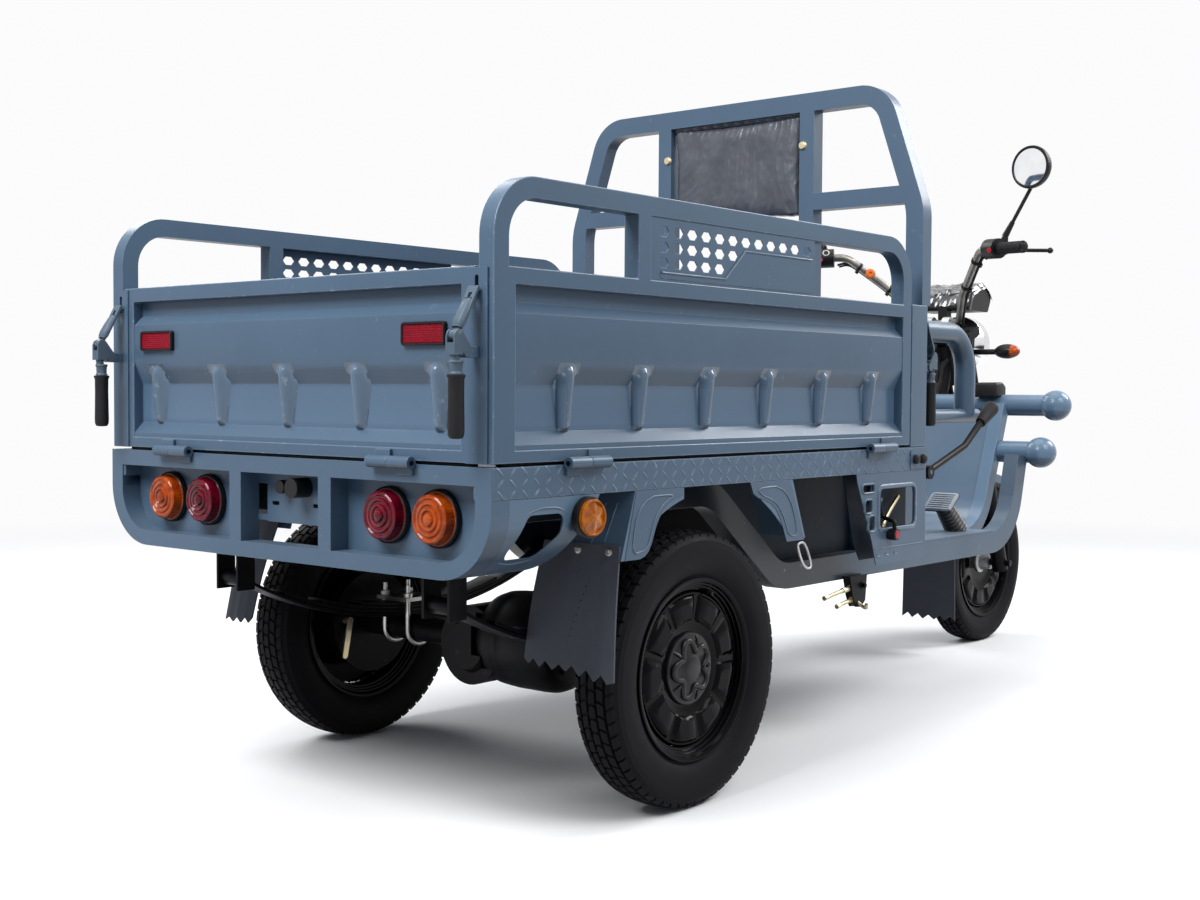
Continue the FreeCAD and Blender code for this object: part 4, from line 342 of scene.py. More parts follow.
metals = {  # colour, colour where dull, roughness, scratches, streaks per metre
    "bareSteel": ((0.50, 0.49, 0.47), (0.34, 0.33, 0.31), (0.28, 0.5)),
    "barSteel": ((0.24, 0.225, 0.205), (0.15, 0.14, 0.13), (0.30, 0.5)),
    "brassCap": ((0.60, 0.50, 0.33), (0.42, 0.36, 0.26), (0.3, 0.5)),
    "mirrorGlass": ((0.90, 0.91, 0.92), (0.82, 0.84, 0.86), (0.02, 0.06), 0.02),
    "chrome": ((0.80, 0.80, 0.81), (0.66, 0.66, 0.67), (0.06, 0.16), 0.05),
    "zincGold": ((0.62, 0.52, 0.30), (0.45, 0.40, 0.30), (0.26, 0.45)),
    "castAlloy": ((0.46, 0.47, 0.48), (0.32, 0.33, 0.34), (0.38, 0.6), 0.4, (160, 160, 160)),
}
mouldings = {  # colour, colour of the bloom, roughness, pebbles per metre, their depth, bloom, coat, gloss
    "whitePlastic": ((0.62, 0.62, 0.60), (0.5, 0.5, 0.48), (0.35, 0.5), 480.0, 0.0002, 0.3),
    "orangePlastic": ((0.62, 0.14, 0.02), (0.5, 0.12, 0.02), (0.35, 0.5), 480.0, 0.0002, 0.3),
    "tyreRubber": ((0.004, 0.0041, 0.0052), (0.014, 0.014, 0.015), (0.5, 0.7), 700.0, 0.0003, 0.5, 0.0, 0.08),
    "flapRubber": ((0.080, 0.085, 0.106), (0.115, 0.119, 0.135), (0.5, 0.72), 420.0, 0.0004, 0.4),
    "paleFilm": ((0.24, 0.28, 0.33), (0.42, 0.45, 0.48), (0.2, 0.34), 300.0, 0.0003, 0.5, 0.2, 0.4),
    "bootRubber": ((0.010, 0.010, 0.013), (0.03, 0.03, 0.034), (0.3, 0.42), 600.0, 0.0002, 0.3, 0.0, 0.5),
    "gripRubber": ((0.006, 0.006, 0.0075), (0.022, 0.022, 0.024), (0.5, 0.7), 600.0, 0.0003, 0.3),
    "blackPlastic": ((0.006, 0.006, 0.007), (0.02, 0.02, 0.021), (0.3, 0.5), 480.0, 0.00025, 0.25),
    "capBlack": ((0.0042, 0.0042, 0.0052), (0.012, 0.012, 0.013), (0.26, 0.4), 620, 0.00015, 0.25, 0.0, 0.25),
    "redPlastic": ((0.42, 0.012, 0.02), (0.30, 0.01, 0.02), (0.3, 0.45), 480.0, 0.0002, 0.3, 0.2),
    "redPlate": ((0.26, 0.003, 0.016), (0.16, 0.002, 0.010), (0.2, 0.35), 260.0, 0.0003, 0.5, 0.0, 0.12),
    "vinyl": ((0.012, 0.012, 0.015), (0.03, 0.03, 0.034), (0.38, 0.55), 900.0, 0.0003, 0.3),
    "filmVinyl": ((0.058, 0.064, 0.082), (0.11, 0.118, 0.14), (0.26, 0.42), 300.0, 0.0003, 0.6, 0.1, 0.4),
    "clearFilm": ((0.035, 0.037, 0.042), (0.16, 0.165, 0.175), (0.08, 0.18), 300.0, 0.0003, 0.8, 0.5, 0.7),
}
lensPlastics = {  # colour, deeper colour, share let through
    "clearLens": ((0.80, 0.81, 0.82), (0.70, 0.71, 0.73), 0.6),
    "redLens": ((0.17, 0.002, 0.016), (0.07, 0.001, 0.007)),
    "amberLens": ((0.48, 0.078, 0.004), (0.24, 0.026, 0.003)),
    "markerLens": ((0.56, 0.16, 0.002), (0.34, 0.075, 0.002)),
}
finishes = {}
for make, recipes in ((paint, paints), (metal, metals), (moulded, mouldings), (lensPlastic, lensPlastics)):
    for name, recipe in recipes.items():
        finishes[name] = make(name, *recipe, **paintExtras.get(name, {}))
print("finishes made:", len(finishes))


# Mesh helpers

rearFace = cadBox[0][0] + 0.055  # frame x of the lamp frame's rear face
sideFace = 502  # outer face of the bed's side sheets, mm from the middle


def at(x, y, z):
    # millimetres ahead of the lamp frame, to the left and above the floor
    return Vector((rearFace + x / 1000, y / 1000, z / 1000))


def sideName(side):
    return "left" if side > 0 else "right"


def limited(value):
    return min(max(value, 0), 1)


def meshOf(part):
    # (vertices, faces) as a bmesh
    data = bpy.data.meshes.new("shape")
    data.from_pydata([tuple(v) for v in part[0]], [], part[1])
    mesh = bmesh.new()
    mesh.from_mesh(data)
    bpy.data.meshes.remove(data)
    return mesh


def addPiece(name, mesh, body, finish, stands=(), sharp=38):
    # mesh may be (vertices, faces) or a bmesh
    data = bpy.data.meshes.new(name)
    if isinstance(mesh, tuple):
        mesh = meshOf(mesh)
    bmesh.ops.recalc_face_normals(mesh, faces=mesh.faces)
    mesh.to_mesh(data)
    mesh.free()
    data.validate()
    for one in (finish if isinstance(finish, list) else [finish]):
        data.materials.append(finishes[one])
    for face in data.polygons:
        face.use_smooth = True
    data.set_sharp_from_angle(angle=math.radians(sharp))
    piece = bpy.data.objects.new(name, data)
    scene.collection.objects.link(piece)
    if body:
        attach(piece, body)
    if stands:
        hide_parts(*stands)
    return piece


def joined(parts):
    # several (vertices, faces) as one
    points, faces = [], []
    for more, loops in parts:
        base = len(points)
        points += more
        faces += [tuple(base + i for i in loop) for loop in loops]
    return points, faces


def moved(part, matrix):
    return [matrix @ Vector(v) for v in part[0]], part[1]


def facing(point, axis):
    # matrix that stands local +Z along axis, with its foot at point
    turn = Vector((0, 0, 1)).rotation_difference(Vector(axis)).to_matrix().to_4x4()
    return Matrix.Translation(point) @ turn


def skin(rings, count, around=True, looped=False):
    # quads between rings of count points; around joins a ring's ends, looped joins the last ring to the first
    faces = []
    for j in range(rings if looped else rings - 1):
        here, there = j * count, (j + 1) % rings * count
        for k in range(count if around else count - 1):
            n = (k + 1) % count
            faces.append((here + k, here + n, there + n, there + k))
    return faces


def cappedSkin(rings, count):
    ends = [tuple(reversed(range(count))), tuple(range((rings - 1) * count, rings * count))]
    return skin(rings, count) + ends


def shellSkin(rows, count):
    # two layers of rows + 1 by count points, joined round their rim
    base = (rows + 1) * count
    faces = []
    for front in skin(rows + 1, count, False):
        faces += [front, tuple(base + i for i in reversed(front))]
    rim = list(range(count)) + [j * count + count - 1 for j in range(1, rows + 1)]
    rim += [rows * count + i for i in range(count - 2, -1, -1)] + [j * count for j in range(rows - 1, 0, -1)]
    for n, a in enumerate(rim):
        b = rim[(n + 1) % len(rim)]
        faces.append((a, base + a, base + b, b))
    return faces


def turned(profile, segments=64, closed=False, wave=None):
    # profile of (radius, height) turned about local Z; wave(step, index, radius) gives a point's own radius
    points, count = [], len(profile)
    for step in range(segments):
        angle = 2 * math.pi * step / segments
        for index, (radius, height) in enumerate(profile):
            if wave:
                radius = wave(step, index, radius)
            points.append((radius * math.cos(angle), radius * math.sin(angle), height))
    faces = skin(segments, count, closed, True)
    if not closed:
        faces.append(tuple(step * count for step in range(segments)))
        faces.append(tuple(step * count + count - 1 for step in reversed(range(segments))))
    return points, faces


def collar(inner, outer, half, segments):
    return turned([(inner, -half), (outer, -half), (outer, half), (inner, half)], segments, True)


def hexBolt(point, axis, size):
    # hexagon head with a chamfer on a round washer
    head = turned([(size * 0.5, size * 0.1), (size * 0.5, size * 0.6), (size * 0.42, size * 0.76)], 6)
    washer = turned([(size * 0.78, 0), (size * 0.78, size * 0.09), (size * 0.72, size * 0.12)], 24)
    return moved(joined([head, washer]), facing(point, axis))


def roundRod(path, radius, segments=12):
    # tube along points, with capped ends
    points, frameUp = [], None
    path = [Vector(p) for p in path]
    for i, point in enumerate(path):
        ahead = (path[min(i + 1, len(path) - 1)] - path[max(i - 1, 0)]).normalized()
        if frameUp is None:
            frameUp = ahead.orthogonal().normalized()
        frameUp = (frameUp - ahead * frameUp.dot(ahead)).normalized()
        sideways = ahead.cross(frameUp)
        for k in range(segments):
            a = 2 * math.pi * k / segments
            points.append(point + (frameUp * math.cos(a) + sideways * math.sin(a)) * radius)
    return points, cappedSkin(len(path), segments)


def smoothed(path, rounds=2, closed=False):
    path = [Vector(p) for p in path]
    for _ in range(rounds):
        ends = len(path) if closed else len(path) - 1
        cut = [] if closed else [path[0]]
        for i in range(ends):
            a, b = path[i], path[(i + 1) % len(path)]
            cut += [a.lerp(b, 0.25), a.lerp(b, 0.75)]
        path = cut if closed else cut + [path[-1]]
    return path


def bead(path, radius, closed=False, rounds=2):
    path = smoothed(path, rounds, closed)
    return roundRod(path + path[:2] if closed else path, radius, 8)


def plateXZ(outline, y0, y1):
    count = len(outline)
    points = [at(x, y, z) for y in (y0, y1) for x, z in outline]
    faces = [tuple(range(count)), tuple(reversed(range(count, 2 * count)))]
    faces += [(i, count + i, count + (i + 1) % count, (i + 1) % count) for i in range(count)]
    return points, faces


def filleted(corners, radius):
    path, count = [], len(corners)
    for i in range(count):
        a, b, c = (Vector(corners[(i + k) % count]) for k in (-1, 0, 1))
        start, end = b + (a - b).normalized() * radius, b + (c - b).normalized() * radius
        for k in range(7):
            t = k / 6
            path.append(start * (1 - t) ** 2 + b * 2 * t * (1 - t) + end * t ** 2)
    return path


# Tyres

beadRadius = 0.158  # where tyre and rim meet
tyreLook = {
    "pitches": 62, "rows": (-0.90, -0.56, -0.19, 0.19, 0.56, 0.90),  # row edges, share of the half width
    "groove": 0.0042, "deep": 0.0055, "bite": 0.17, "slant": 0.42, "lip": 0.0005,
    # sidewall: rise above the bead or drop below the crown, share of the half width
    "lowWall": [(0, 0.70), (0.010, 0.72), (0.017, 0.83), (0.026, 0.93), (0.040, 0.985)],
    "highWall": [(0.040, 1.0), (0.030, 0.998), (0.0265, 1.0), (0.024, 0.985), (0.0175, 0.972)],
}


def makeTyre(node):
    low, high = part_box(node)
    centre = (low + high) / 2
    radius, half = (high.z - low.z) / 2, (high.y - low.y) / 2
    rows, groove, deep, bite, lip = (tyreLook[k] for k in ("rows", "groove", "deep", "bite", "lip"))

    def crown(share):
        return radius - 0.0005 - 0.0085 * abs(share) ** 2.4

    wall = [(beadRadius + rise, share) for rise, share in tyreLook["lowWall"]]
    wall += [(radius - drop, share) for drop, share in tyreLook["highWall"]]
    across = [(-share * half, r, None) for r, share in wall]  # y, radius, then row and whether on top of it
    for row in range(len(rows) - 1):
        start, end = rows[row] * half + groove / 2, rows[row + 1] * half - groove / 2
        for y, top in ((start - lip, False), (start + lip, True), ((start + end) / 2, True),
                       (end - lip, True), (end + lip, False)):
            across.append((y, crown(y / half), (row, top)))
    across += [(share * half, r, None) for r, share in reversed(wall)]
    lining = [(beadRadius, 0.60), (radius - 0.04, 0.86), (radius - 0.016, 0.5)]
    lining += [(r, -share) for r, share in reversed(lining)]
    across += [(share * half, r, None) for r, share in lining]
    marks = [0, 0.03, bite, bite + 0.03, 0.5, 0.53, 0.5 + bite, 0.53 + bite]
    pitch = 2 * math.pi / tyreLook["pitches"]
    points = []
    for step in range(tyreLook["pitches"]):
        for mark in marks:
            for y, r, cell in across:
                angle = (step + mark) * pitch
                if cell:
                    row, top = cell
                    phase = (mark - (0.5 if row % 2 else 0.0)) % 1.0
                    cut = 0.02 < phase < bite + 0.01
                    outer = row in (0, len(rows) - 2)
                    if not top and not outer:
                        r -= deep
                    elif not top or cut:
                        r -= deep * (0.9 if outer else 0.7)
                if abs(y) < 0.97 * half and r > radius - 0.03:
                    angle += tyreLook["slant"] * pitch * (abs(y / half * 2 % 2 - 1) - 0.5)
                points.append(centre + Vector((r * math.sin(angle), y, r * math.cos(angle))))
    faces = skin(len(marks) * tyreLook["pitches"], len(across), True, True)
    addPiece("tread_" + node, (points, faces), bodyOf[node], "tyreRubber", [node], 30)


for name in ("tyre_rear_right", "tyre_rear_left", "tyre_front"):
    makeTyre(name)
print("tyres made")


# Rims: stepped barrel, dished disc with pressed pads, hub cap with a wavy raised ring

rimLook = {
    "flange": 0.166, "sheet": 0.004, "halfShare": 0.72, "wellDrop": 0.018, "wellShare": 0.42,
    "steps": [(0.001, 0.001), (0.003, 0.005), (0.006, 0.0055), (0.0075, 0.011), (0.0105, 0.0115),
              (0.012, 0.017), (0.0155, 0.0175)],  # below the bead, in from the edge
    "pads": 9, "padIn": 0.088, "padOut": 0.131, "padHigh": 0.0065, "padGap": 0.20,  # gap, share of the pitch
    "capHigh": 0.013, "ringRadius": 0.0525, "ringWave": 0.0195, "ringThick": 0.0058, "points": 5,
}


def rimDisc(face, backFace):
    # face(radius) gives the pressed height of the front; the pads repeat round the axis
    padIn, padOut, gap, pads = (rimLook[k] for k in ("padIn", "padOut", "padGap", "pads"))
    radii = [0.024, 0.050, 0.066, 0.074, 0.080, padIn - 0.003, padIn, padIn + 0.004, 0.105, 0.118,
             padOut - 0.004, padOut, padOut + 0.003, 0.137, 0.140]
    marks = [0, gap * 0.35, gap * 0.5, gap, gap + 0.05, 0.4, 0.6, 0.8, 0.94, 0.985]
    points = []
    for pad in range(pads):
        for mark in marks:
            angle = 2 * math.pi * (pad + mark) / pads
            section = []
            for r in radii:
                height = face(r)
                if padIn <= r <= padOut and gap - 0.001 <= mark <= 0.95:
                    edge = r in (padIn, padOut) or mark in (gap, 0.94)
                    height += rimLook["padHigh"] * (0.62 if edge else 1.0)
                section.append((r, height))
            section += [(radii[-1], backFace), (radii[0], backFace)]
            points += [(r * math.cos(angle), r * math.sin(angle), h) for r, h in section]
    return points, skin(len(marks) * pads, len(radii) + 2, True, True)


def rimBarrel(half):
    flange, edge = rimLook["flange"], half + rimLook["sheet"]
    side = [(flange, edge), (flange - 0.001, edge + 0.0012), (flange - 0.004, edge + 0.0012)]
    side += [(beadRadius - drop, edge - inward) for drop, inward in rimLook["steps"]]
    side.append((beadRadius - rimLook["wellDrop"], half * rimLook["wellShare"]))
    side += [(r, -h) for r, h in reversed(side)]
    outer = [(flange, -half), (beadRadius, -half), (beadRadius - 0.016, -half * 0.4)]
    outer += [(r, -h) for r, h in reversed(outer)]
    return turned(side + outer, 96, True)


def hubCap(base):
    top = base + rimLook["capHigh"]
    dome = turned([(0.016, top + 0.001), (0.024, top - 0.001), (0.028, top - 0.004), (0.046, top - 0.004),
                   (0.052, top - 0.005), (0.058, top - 0.0085), (0.0625, base + 0.0045),
                   (0.0645, base + 0.0042), (0.066, base + 0.002), (0.066, base - 0.003)], 80)
    wave = []
    for i in range(121):
        a = 2 * math.pi * i / 120
        r = rimLook["ringRadius"] - rimLook["ringWave"] * abs(math.cos(rimLook["points"] * a / 2)) ** 3
        wave.append((r * math.cos(a), r * math.sin(a), top - 0.0045 - 0.25 * max(r - 0.047, 0)))
    parts = [dome, roundRod(wave, rimLook["ringThick"], 10)]
    for i in range(rimLook["points"]):
        a = 2 * math.pi * i / rimLook["points"]
        reach = [(0.044, top - 0.003), (0.052, top - 0.0045), (0.060, top - 0.0105)]
        parts.append(roundRod([(r * math.cos(a), r * math.sin(a), h) for r, h in reach], 0.0032, 8))
    return joined(parts)


def makeRim(node, out, hasCap=True):
    tyreLow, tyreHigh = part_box(node.replace("rim", "tyre"))
    half = (tyreHigh.y - tyreLow.y) / 2 * rimLook["halfShare"]
    stand = Matrix.Translation((tyreLow + tyreHigh) / 2) @ Matrix.Rotation(math.radians(90), 4, "X")
    stand = stand @ Matrix.Diagonal((1, 1, -out, 1))  # local Z to the wheel's outer side
    discFace = half * rimLook["wellShare"] + 0.004

    def pressed(r):
        rise = 0.004 * math.sin(limited((r - 0.066) / 0.03) * math.pi / 2)
        return discFace + rise - (0.006 if r > 0.1385 else 0)

    def put(name, shape, finish, stands=(), sharp=38, turn=Matrix()):
        addPiece(name + node, moved(shape, stand @ turn), bodyOf[node], finish, stands, sharp)

    sheet = joined([rimBarrel(half), rimDisc(pressed, discFace - 0.005)])
    put("pressed_", sheet, "rimBlack", [node], 32)
    drum = [(0.014, -half - 0.003), (0.026, -half - 0.003), (0.026, -half + 0.004), (0.086, -half + 0.006),
            (0.092, -half - 0.003), (0.099, -half - 0.003), (0.1, -half), (0.1, half * 0.2),
            (0.098, half * 0.3), (0.014, half * 0.3)]
    put("drum_", turned(drum, 64, True), "darkSteel")
    valve = [(0.150, 0, half * 0.5), (0.143, 0, half * 0.75), (0.1405, 0, half * 1.05)]
    put("valve_", roundRod(valve, 0.0035, 10), "gripRubber", turn=Matrix.Rotation(1.2, 4, "Z"))
    if hasCap:
        put("cap_", hubCap(discFace + 0.001), "capBlack", sharp=42)
    else:
        hub = [(0.0102, half * 0.3), (0.034, half * 0.3), (0.034, discFace + 0.004),
               (0.026, discFace + 0.008), (0.022, 0.052), (0.0102, 0.052)]
        put("hub_", turned(hub, 48, True), "castAlloy")


makeRim("rim_rear_right", -1)
makeRim("rim_rear_left", 1)
makeRim("rim_front", -1, False)
print("rims and hub caps made")


# CAD solids taken over with rounded edges

edgeFinish = {"slatePaint": "slateEdge", "gatePaint": "gateEdge", "fieldPaint": "gateEdge"}


def solidOf(node):
    mesh = bmesh.new()
    mesh.from_mesh(nodes[node].data)
    mesh.transform(nodes[node].matrix_world)
    bmesh.ops.remove_doubles(mesh, verts=mesh.verts, dist=2e-5)
    bmesh.ops.dissolve_limit(mesh, angle_limit=math.radians(0.6), verts=mesh.verts, edges=mesh.edges)
    return mesh


def islandsOf(mesh):
    seen, groups = set(), []
    for face in mesh.faces:
        if face in seen:
            continue
        group, waiting = [], [face]
        seen.add(face)
        while waiting:
            one = waiting.pop()
            group.append(one)
            for edge in one.edges:
                for near in edge.link_faces:
                    if near not in seen:
                        seen.add(near)
                        waiting.append(near)
        groups.append(group)
    return groups


def boxOf(group):
    # lowest and highest corners, in the millimetres of at()
    corners = [(v.co - at(0, 0, 0)) * 1000 for face in group for v in face.verts]
    return tuple(Vector([pick(c[i] for c in corners) for i in range(3)]) for pick in (min, max))


def rounded(mesh, width, segments=2, finish=-1):
    mesh.normal_update()
    crisp = [e for e in mesh.edges if len(e.link_faces) == 2 and e.calc_face_angle(0) > 0.6]
    bmesh.ops.bevel(mesh, geom=crisp, offset=width, offset_type="OFFSET", segments=segments, profile=0.5,
                    affect="EDGES", clamp_overlap=True, material=finish)


def dress(node, width, rule):
    # rule is a finish, or a function of a solid's corners; an empty finish leaves the solid out
    mesh, whole = solidOf(node), bmesh.new()
    used = []
    for group in islandsOf(mesh):
        finish = rule(*boxOf(group)) if callable(rule) else rule
        if not finish:
            continue
        edge = edgeFinish.get(finish, finish)
        used += [one for one in dict.fromkeys((finish, edge)) if one not in used]
        solid = bmesh.new()
        copies = {v: solid.verts.new(v.co) for v in {v for face in group for v in face.verts}}
        for face in group:
            solid.faces.new([copies[v] for v in face.verts]).material_index = used.index(finish)
        rounded(solid, width, 2, used.index(edge))
        data = bpy.data.meshes.new("solid")
        solid.to_mesh(data)
        solid.free()
        whole.from_mesh(data)
        bpy.data.meshes.remove(data)
    mesh.free()
    piece = addPiece("round_" + node, whole, bodyOf[node], used, [node], 40)
    even = piece.modifiers.new("even", "WEIGHTED_NORMAL")
    even.keep_sharp = True


def ifFinish(tests, other):
    # first finish whose test of the solid's corners holds
    def rule(low, high):
        for test, finish in tests:
            if test(low, high):
                return finish
        return other
    return rule


gripTop = 775  # mm, top of the rubber grips on the latch handles
pressRule = ifFinish([(lambda a, b: a.z > 650 and 905 < b.z < 911, "fieldPaint")], "gatePaint")  # skin, frame
handleRule = ifFinish([(lambda a, b: b.z < gripTop, "gripRubber")], "latchCast")
dressed = {  # width of the rounding, finish
    "main_frame": (0.003, ifFinish([
        (lambda a, b: b.x < 150 and a.z < 380 or a.x > 980 and b.x < 1020, "darkSteel"),  # spring hangers
        (lambda a, b: b.z - a.z < 25, "darkSteel"),  # flap arm and pedal pin
        (lambda a, b: a.x > 1900 and b.x > 2400, "darkSteel")], "railPaint")),  # neck
    "cargo_bed": (0.0022, ifFinish([(lambda a, b: a.z > 626 and b.z < 633, "deckPaint")], "slatePaint")),
    "rear_lamp_frame": (0.003, "slatePaint"),
    "lamp_bases": (0.0018, "blackPlastic"),
    "mudguard_panels": (0.0007, "guardPaint"),
    "headboard": (0.004, "slatePaint"),
    "seat_frame": (0.0025, ifFinish([(lambda a, b: b.y - a.y > 600, "railPaint")], "slatePaint")),
    "footboard": (0.0008, "deckPaint"),
    "front_bumper": (0.002, "bumperPaint"),
    "leg_shield": (0.0025, "shieldPaint"),
    "head_bearings": (0.001, "darkSteel"),
    "battery_pack": (0.004, ifFinish([(lambda a, b: a.x > 1000, "blackPlastic")], "castAlloy")),
    "pins_and_caps": (0.0007, ifFinish([(lambda a, b: a.z > 1000, "brassCap")], "darkSteel")),
    "axle_housing": (0.002, ifFinish([(lambda a, b: b.x < 495 and b.z < 270, "zincGold")], "darkSteel")),
    "u_bolts": (0.0008, "bareSteel"),
    "fork_upper": (0.002, "darkSteel"),
    "fork_legs": (0.0015, "darkSteel"),
    "front_mudguard": (0.0008, "slatePaint"),
    "handlebar": (0.0015, "barSteel"),
    "dashboard": (0.007, "blackPlastic"),
    "headlamp": (0.002, ifFinish([
        (lambda a, b: b.y - a.y < 10, "darkSteel"), (lambda a, b: a.x > 2540, "clearLens")], "chrome")),
    "bar_controls": (0.002, ifFinish([
        (lambda a, b: a.x < 2130, ""), (lambda a, b: b.z < 1000, "castAlloy")], "blackPlastic")),
    "brake_lever_right": (0.0025, "blackPlastic"),
    "brake_lever_left": (0.0025, "blackPlastic"),
    "mirror_right": (0.003, "blackPlastic"),
    "mirror_left": (0.003, "blackPlastic"),
    "horn_button": (0.0015, "redPlastic"),
    "start_button": (0.0015, "redPlastic"),
    "tailgate": (0.0022, pressRule),
    "side_gate_right": (0.0022, pressRule),
    "side_gate_left": (0.0022, pressRule),
    "parking_lever": (0.0015, ifFinish([(lambda a, b: a.x > 1600, "gripRubber")], "darkSteel")),
    "brake_pedal": (0.0015, "darkSteel"),
    "gear_lever": (0.0015, ifFinish([(lambda a, b: a.z < 445, "")], "darkSteel")),
}
for place in ("tail", "front"):
    for side in bothSides:
        dressed[f"{place}_latch_handle_{sideName(side)}"] = (0.003, handleRule)
        dressed[f"{place}_latch_hook_{sideName(side)}"] = (0.0022, "latchCast")
for name, (width, rule) in dressed.items():
    dress(name, width, rule)
print("rounded solids:", len(dressed))


# Leaf springs, cut into pieces between the hangers and the axle

spring = {"eyes": (120, 1000), "axle": 560, "clamp": 50, "side": 280, "high": 400,  # mm
          "round": 0.0012, "cuts": 18}  # cuts along the leaves


def makeSpring(side):
    for eye in spring["eyes"]:
        mesh = solidOf("leaf_springs")
        far = [f for f in mesh.faces if f.calc_center_median().y * side < 0]
        bmesh.ops.delete(mesh, geom=far, context="FACES")
        rounded(mesh, spring["round"])
        away = Vector((spring["axle"] - eye, 0, 0)).normalized()

        def cut(x, clear=False):
            everything = mesh.verts[:] + mesh.edges[:] + mesh.faces[:]
            bmesh.ops.bisect_plane(mesh, geom=everything, plane_co=at(x, 0, 0), plane_no=away,
                                   clear_outer=clear)

        cut(spring["axle"], True)
        bmesh.ops.holes_fill(mesh, edges=[e for e in mesh.edges if e.is_boundary])
        for i in range(1, spring["cuts"]):
            cut(eye + (spring["axle"] - eye) * i / spring["cuts"])
        name = "spring_%s_%s" % (sideName(side), "rear" if eye < spring["axle"] else "front")
        piece = addPiece(name, mesh, None, "darkSteel", ["leaf_springs"], 40)
        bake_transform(piece)


for side in bothSides:
    makeSpring(side)
print("springs made")


# Rubber gaiter on the brake pedal

gaiter = {"foot": (1935, -292, 397), "head": (1856, -292, 466), "wide": 29, "narrow": 23,
          "folds": 8, "fold": 7, "bore": 11}


def makeGaiter():
    foot, head = at(*gaiter["foot"]), at(*gaiter["head"])
    length = (head - foot).length
    outline = []
    for i in range(gaiter["folds"] * 6 + 1):
        share = i / (gaiter["folds"] * 6)
        crest = 0.5 - 0.5 * math.cos(2 * math.pi * share * gaiter["folds"])
        radius = gaiter["wide"] + (gaiter["narrow"] - gaiter["wide"]) * share
        radius -= gaiter["fold"] * (1 - crest ** 0.6)
        outline.append((radius / 1000, share * length))
    hole = gaiter["bore"] / 1000
    shape = turned([(hole, 0)] + outline + [(hole, length)], 36, True)
    points, faces = moved(shape, facing(foot, head - foot))
    floor = gaiter["foot"][2] / 1000
    points = [Vector((v.x, v.y, max(v.z, floor))) for v in points]
    piece = addPiece("gaiter_pedal", (points, faces), None, "bootRubber", ["pedal_boot"], 50)
    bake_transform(piece)


makeGaiter()


# Padded pieces: the cover is filled by pressure, then marked by its film

pads = {
    "backrest_pad": {"voxel": 0.005, "shrink": 0.004, "cap": 0.009, "wrinkle": 0.0016, "finish": "filmVinyl",
                     "held": lambda p, low, high: abs(p.z - low.z) < 0.012 or abs(p.z - high.z) < 0.012},
    "seat_cushion": {"voxel": 0.007, "shrink": 0.005, "cap": 0.016, "wrinkle": 0.0006, "finish": "vinyl",
                     "held": lambda p, low, high: p.z < low.z + 0.012},
}
padFill = {"pressure": 4, "frames": 20, "proud": 0.004}


def wrinkled(p, size):
    # film creases: long slanted folds from the corners, short crinkles between them
    bend = 0.03 * noise.noise(Vector((p.y * 11, p.z * 11, 0.3)))
    lean = 0.30 + 2.4 * p.y  # steeper toward the right
    across = p.y * math.cos(lean) + (p.z - 1.27) * math.sin(lean) + bend
    long = noise.noise(Vector((across * 55, p.z * 7, 1.7)))
    fine = noise.noise(Vector((p.y * 70, p.z * 70, 7.3)))
    sharp = noise.noise(Vector((across * 95, p.z * 26, 4.1)))
    return size * (0.9 * (1 - abs(long)) ** 4 + 0.4 * (1 - abs(sharp)) ** 4 + 0.35 * fine - 0.5)


def filled(cover, heldPoints):
    # points of the cover after the cloth has swelled
    held = cover.vertex_groups.new(name="held")
    held.add(heldPoints, 1.0, "REPLACE")
    fill = cover.modifiers.new("fill", "CLOTH")
    fill.settings.use_pressure = True
    fill.settings.uniform_pressure_force = padFill["pressure"]
    fill.settings.effector_weights.gravity = 0
    fill.settings.vertex_group_mass = "held"
    fill.point_cache.frame_start, fill.point_cache.frame_end = 1, padFill["frames"]
    for step in range(1, padFill["frames"] + 1):
        scene.frame_set(step)
    graph = bpy.context.evaluated_depsgraph_get()
    full = [v.co.copy() for v in cover.evaluated_get(graph).data.vertices]
    scene.frame_set(1)
    return full


def makePad(node):
    look = pads[node]
    low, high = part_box(node)
    middle = (low + high) / 2
    mesh = solidOf(node)
    for v in mesh.verts:
        v.co -= Vector([look["shrink"] * (1 if v.co[i] > middle[i] else -1) for i in range(3)])
    data = bpy.data.meshes.new("pad")
    mesh.to_mesh(data)
    mesh.free()
    cover = bpy.data.objects.new("pad", data)
    scene.collection.objects.link(cover)
    fine = cover.modifiers.new("fine", "REMESH")
    fine.mode, fine.voxel_size = "VOXEL", look["voxel"]
    graph = bpy.context.evaluated_depsgraph_get()
    even = bpy.data.meshes.new_from_object(cover.evaluated_get(graph))
    cover.modifiers.clear()
    cover.data = even
    start = [v.co.copy() for v in even.vertices]
    full = start
    full = filled(cover, [i for i, p in enumerate(start) if look["held"](p, low, high)])
    mesh = bmesh.new()
    mesh.from_mesh(even)
    mesh.verts.ensure_lookup_table()
    for v, before, after in zip(mesh.verts, start, full):
        step = after - before
        v.co = before + step * min(1, look["cap"] / max(step.length, 1e-6))
    bpy.data.objects.remove(cover)
    bmesh.ops.subdivide_edges(mesh, edges=mesh.edges[:], cuts=1, use_grid_fill=True, smooth=0.6)
    mesh.normal_update()
    ups = [(v, v.normal.copy()) for v in mesh.verts]
    for v, up in ups:
        v.co += up * wrinkled(v.co, look["wrinkle"])
        for i in range(3):
            v.co[i] = min(max(v.co[i], low[i] - padFill["proud"]), high[i] + padFill["proud"])
    return addPiece("cover_" + node, mesh, bodyOf[node], look["finish"], [node], 80)


backCover = makePad("backrest_pad")
seatCover = makePad("seat_cushion")
print("pads filled")


# Lamps and reflectors

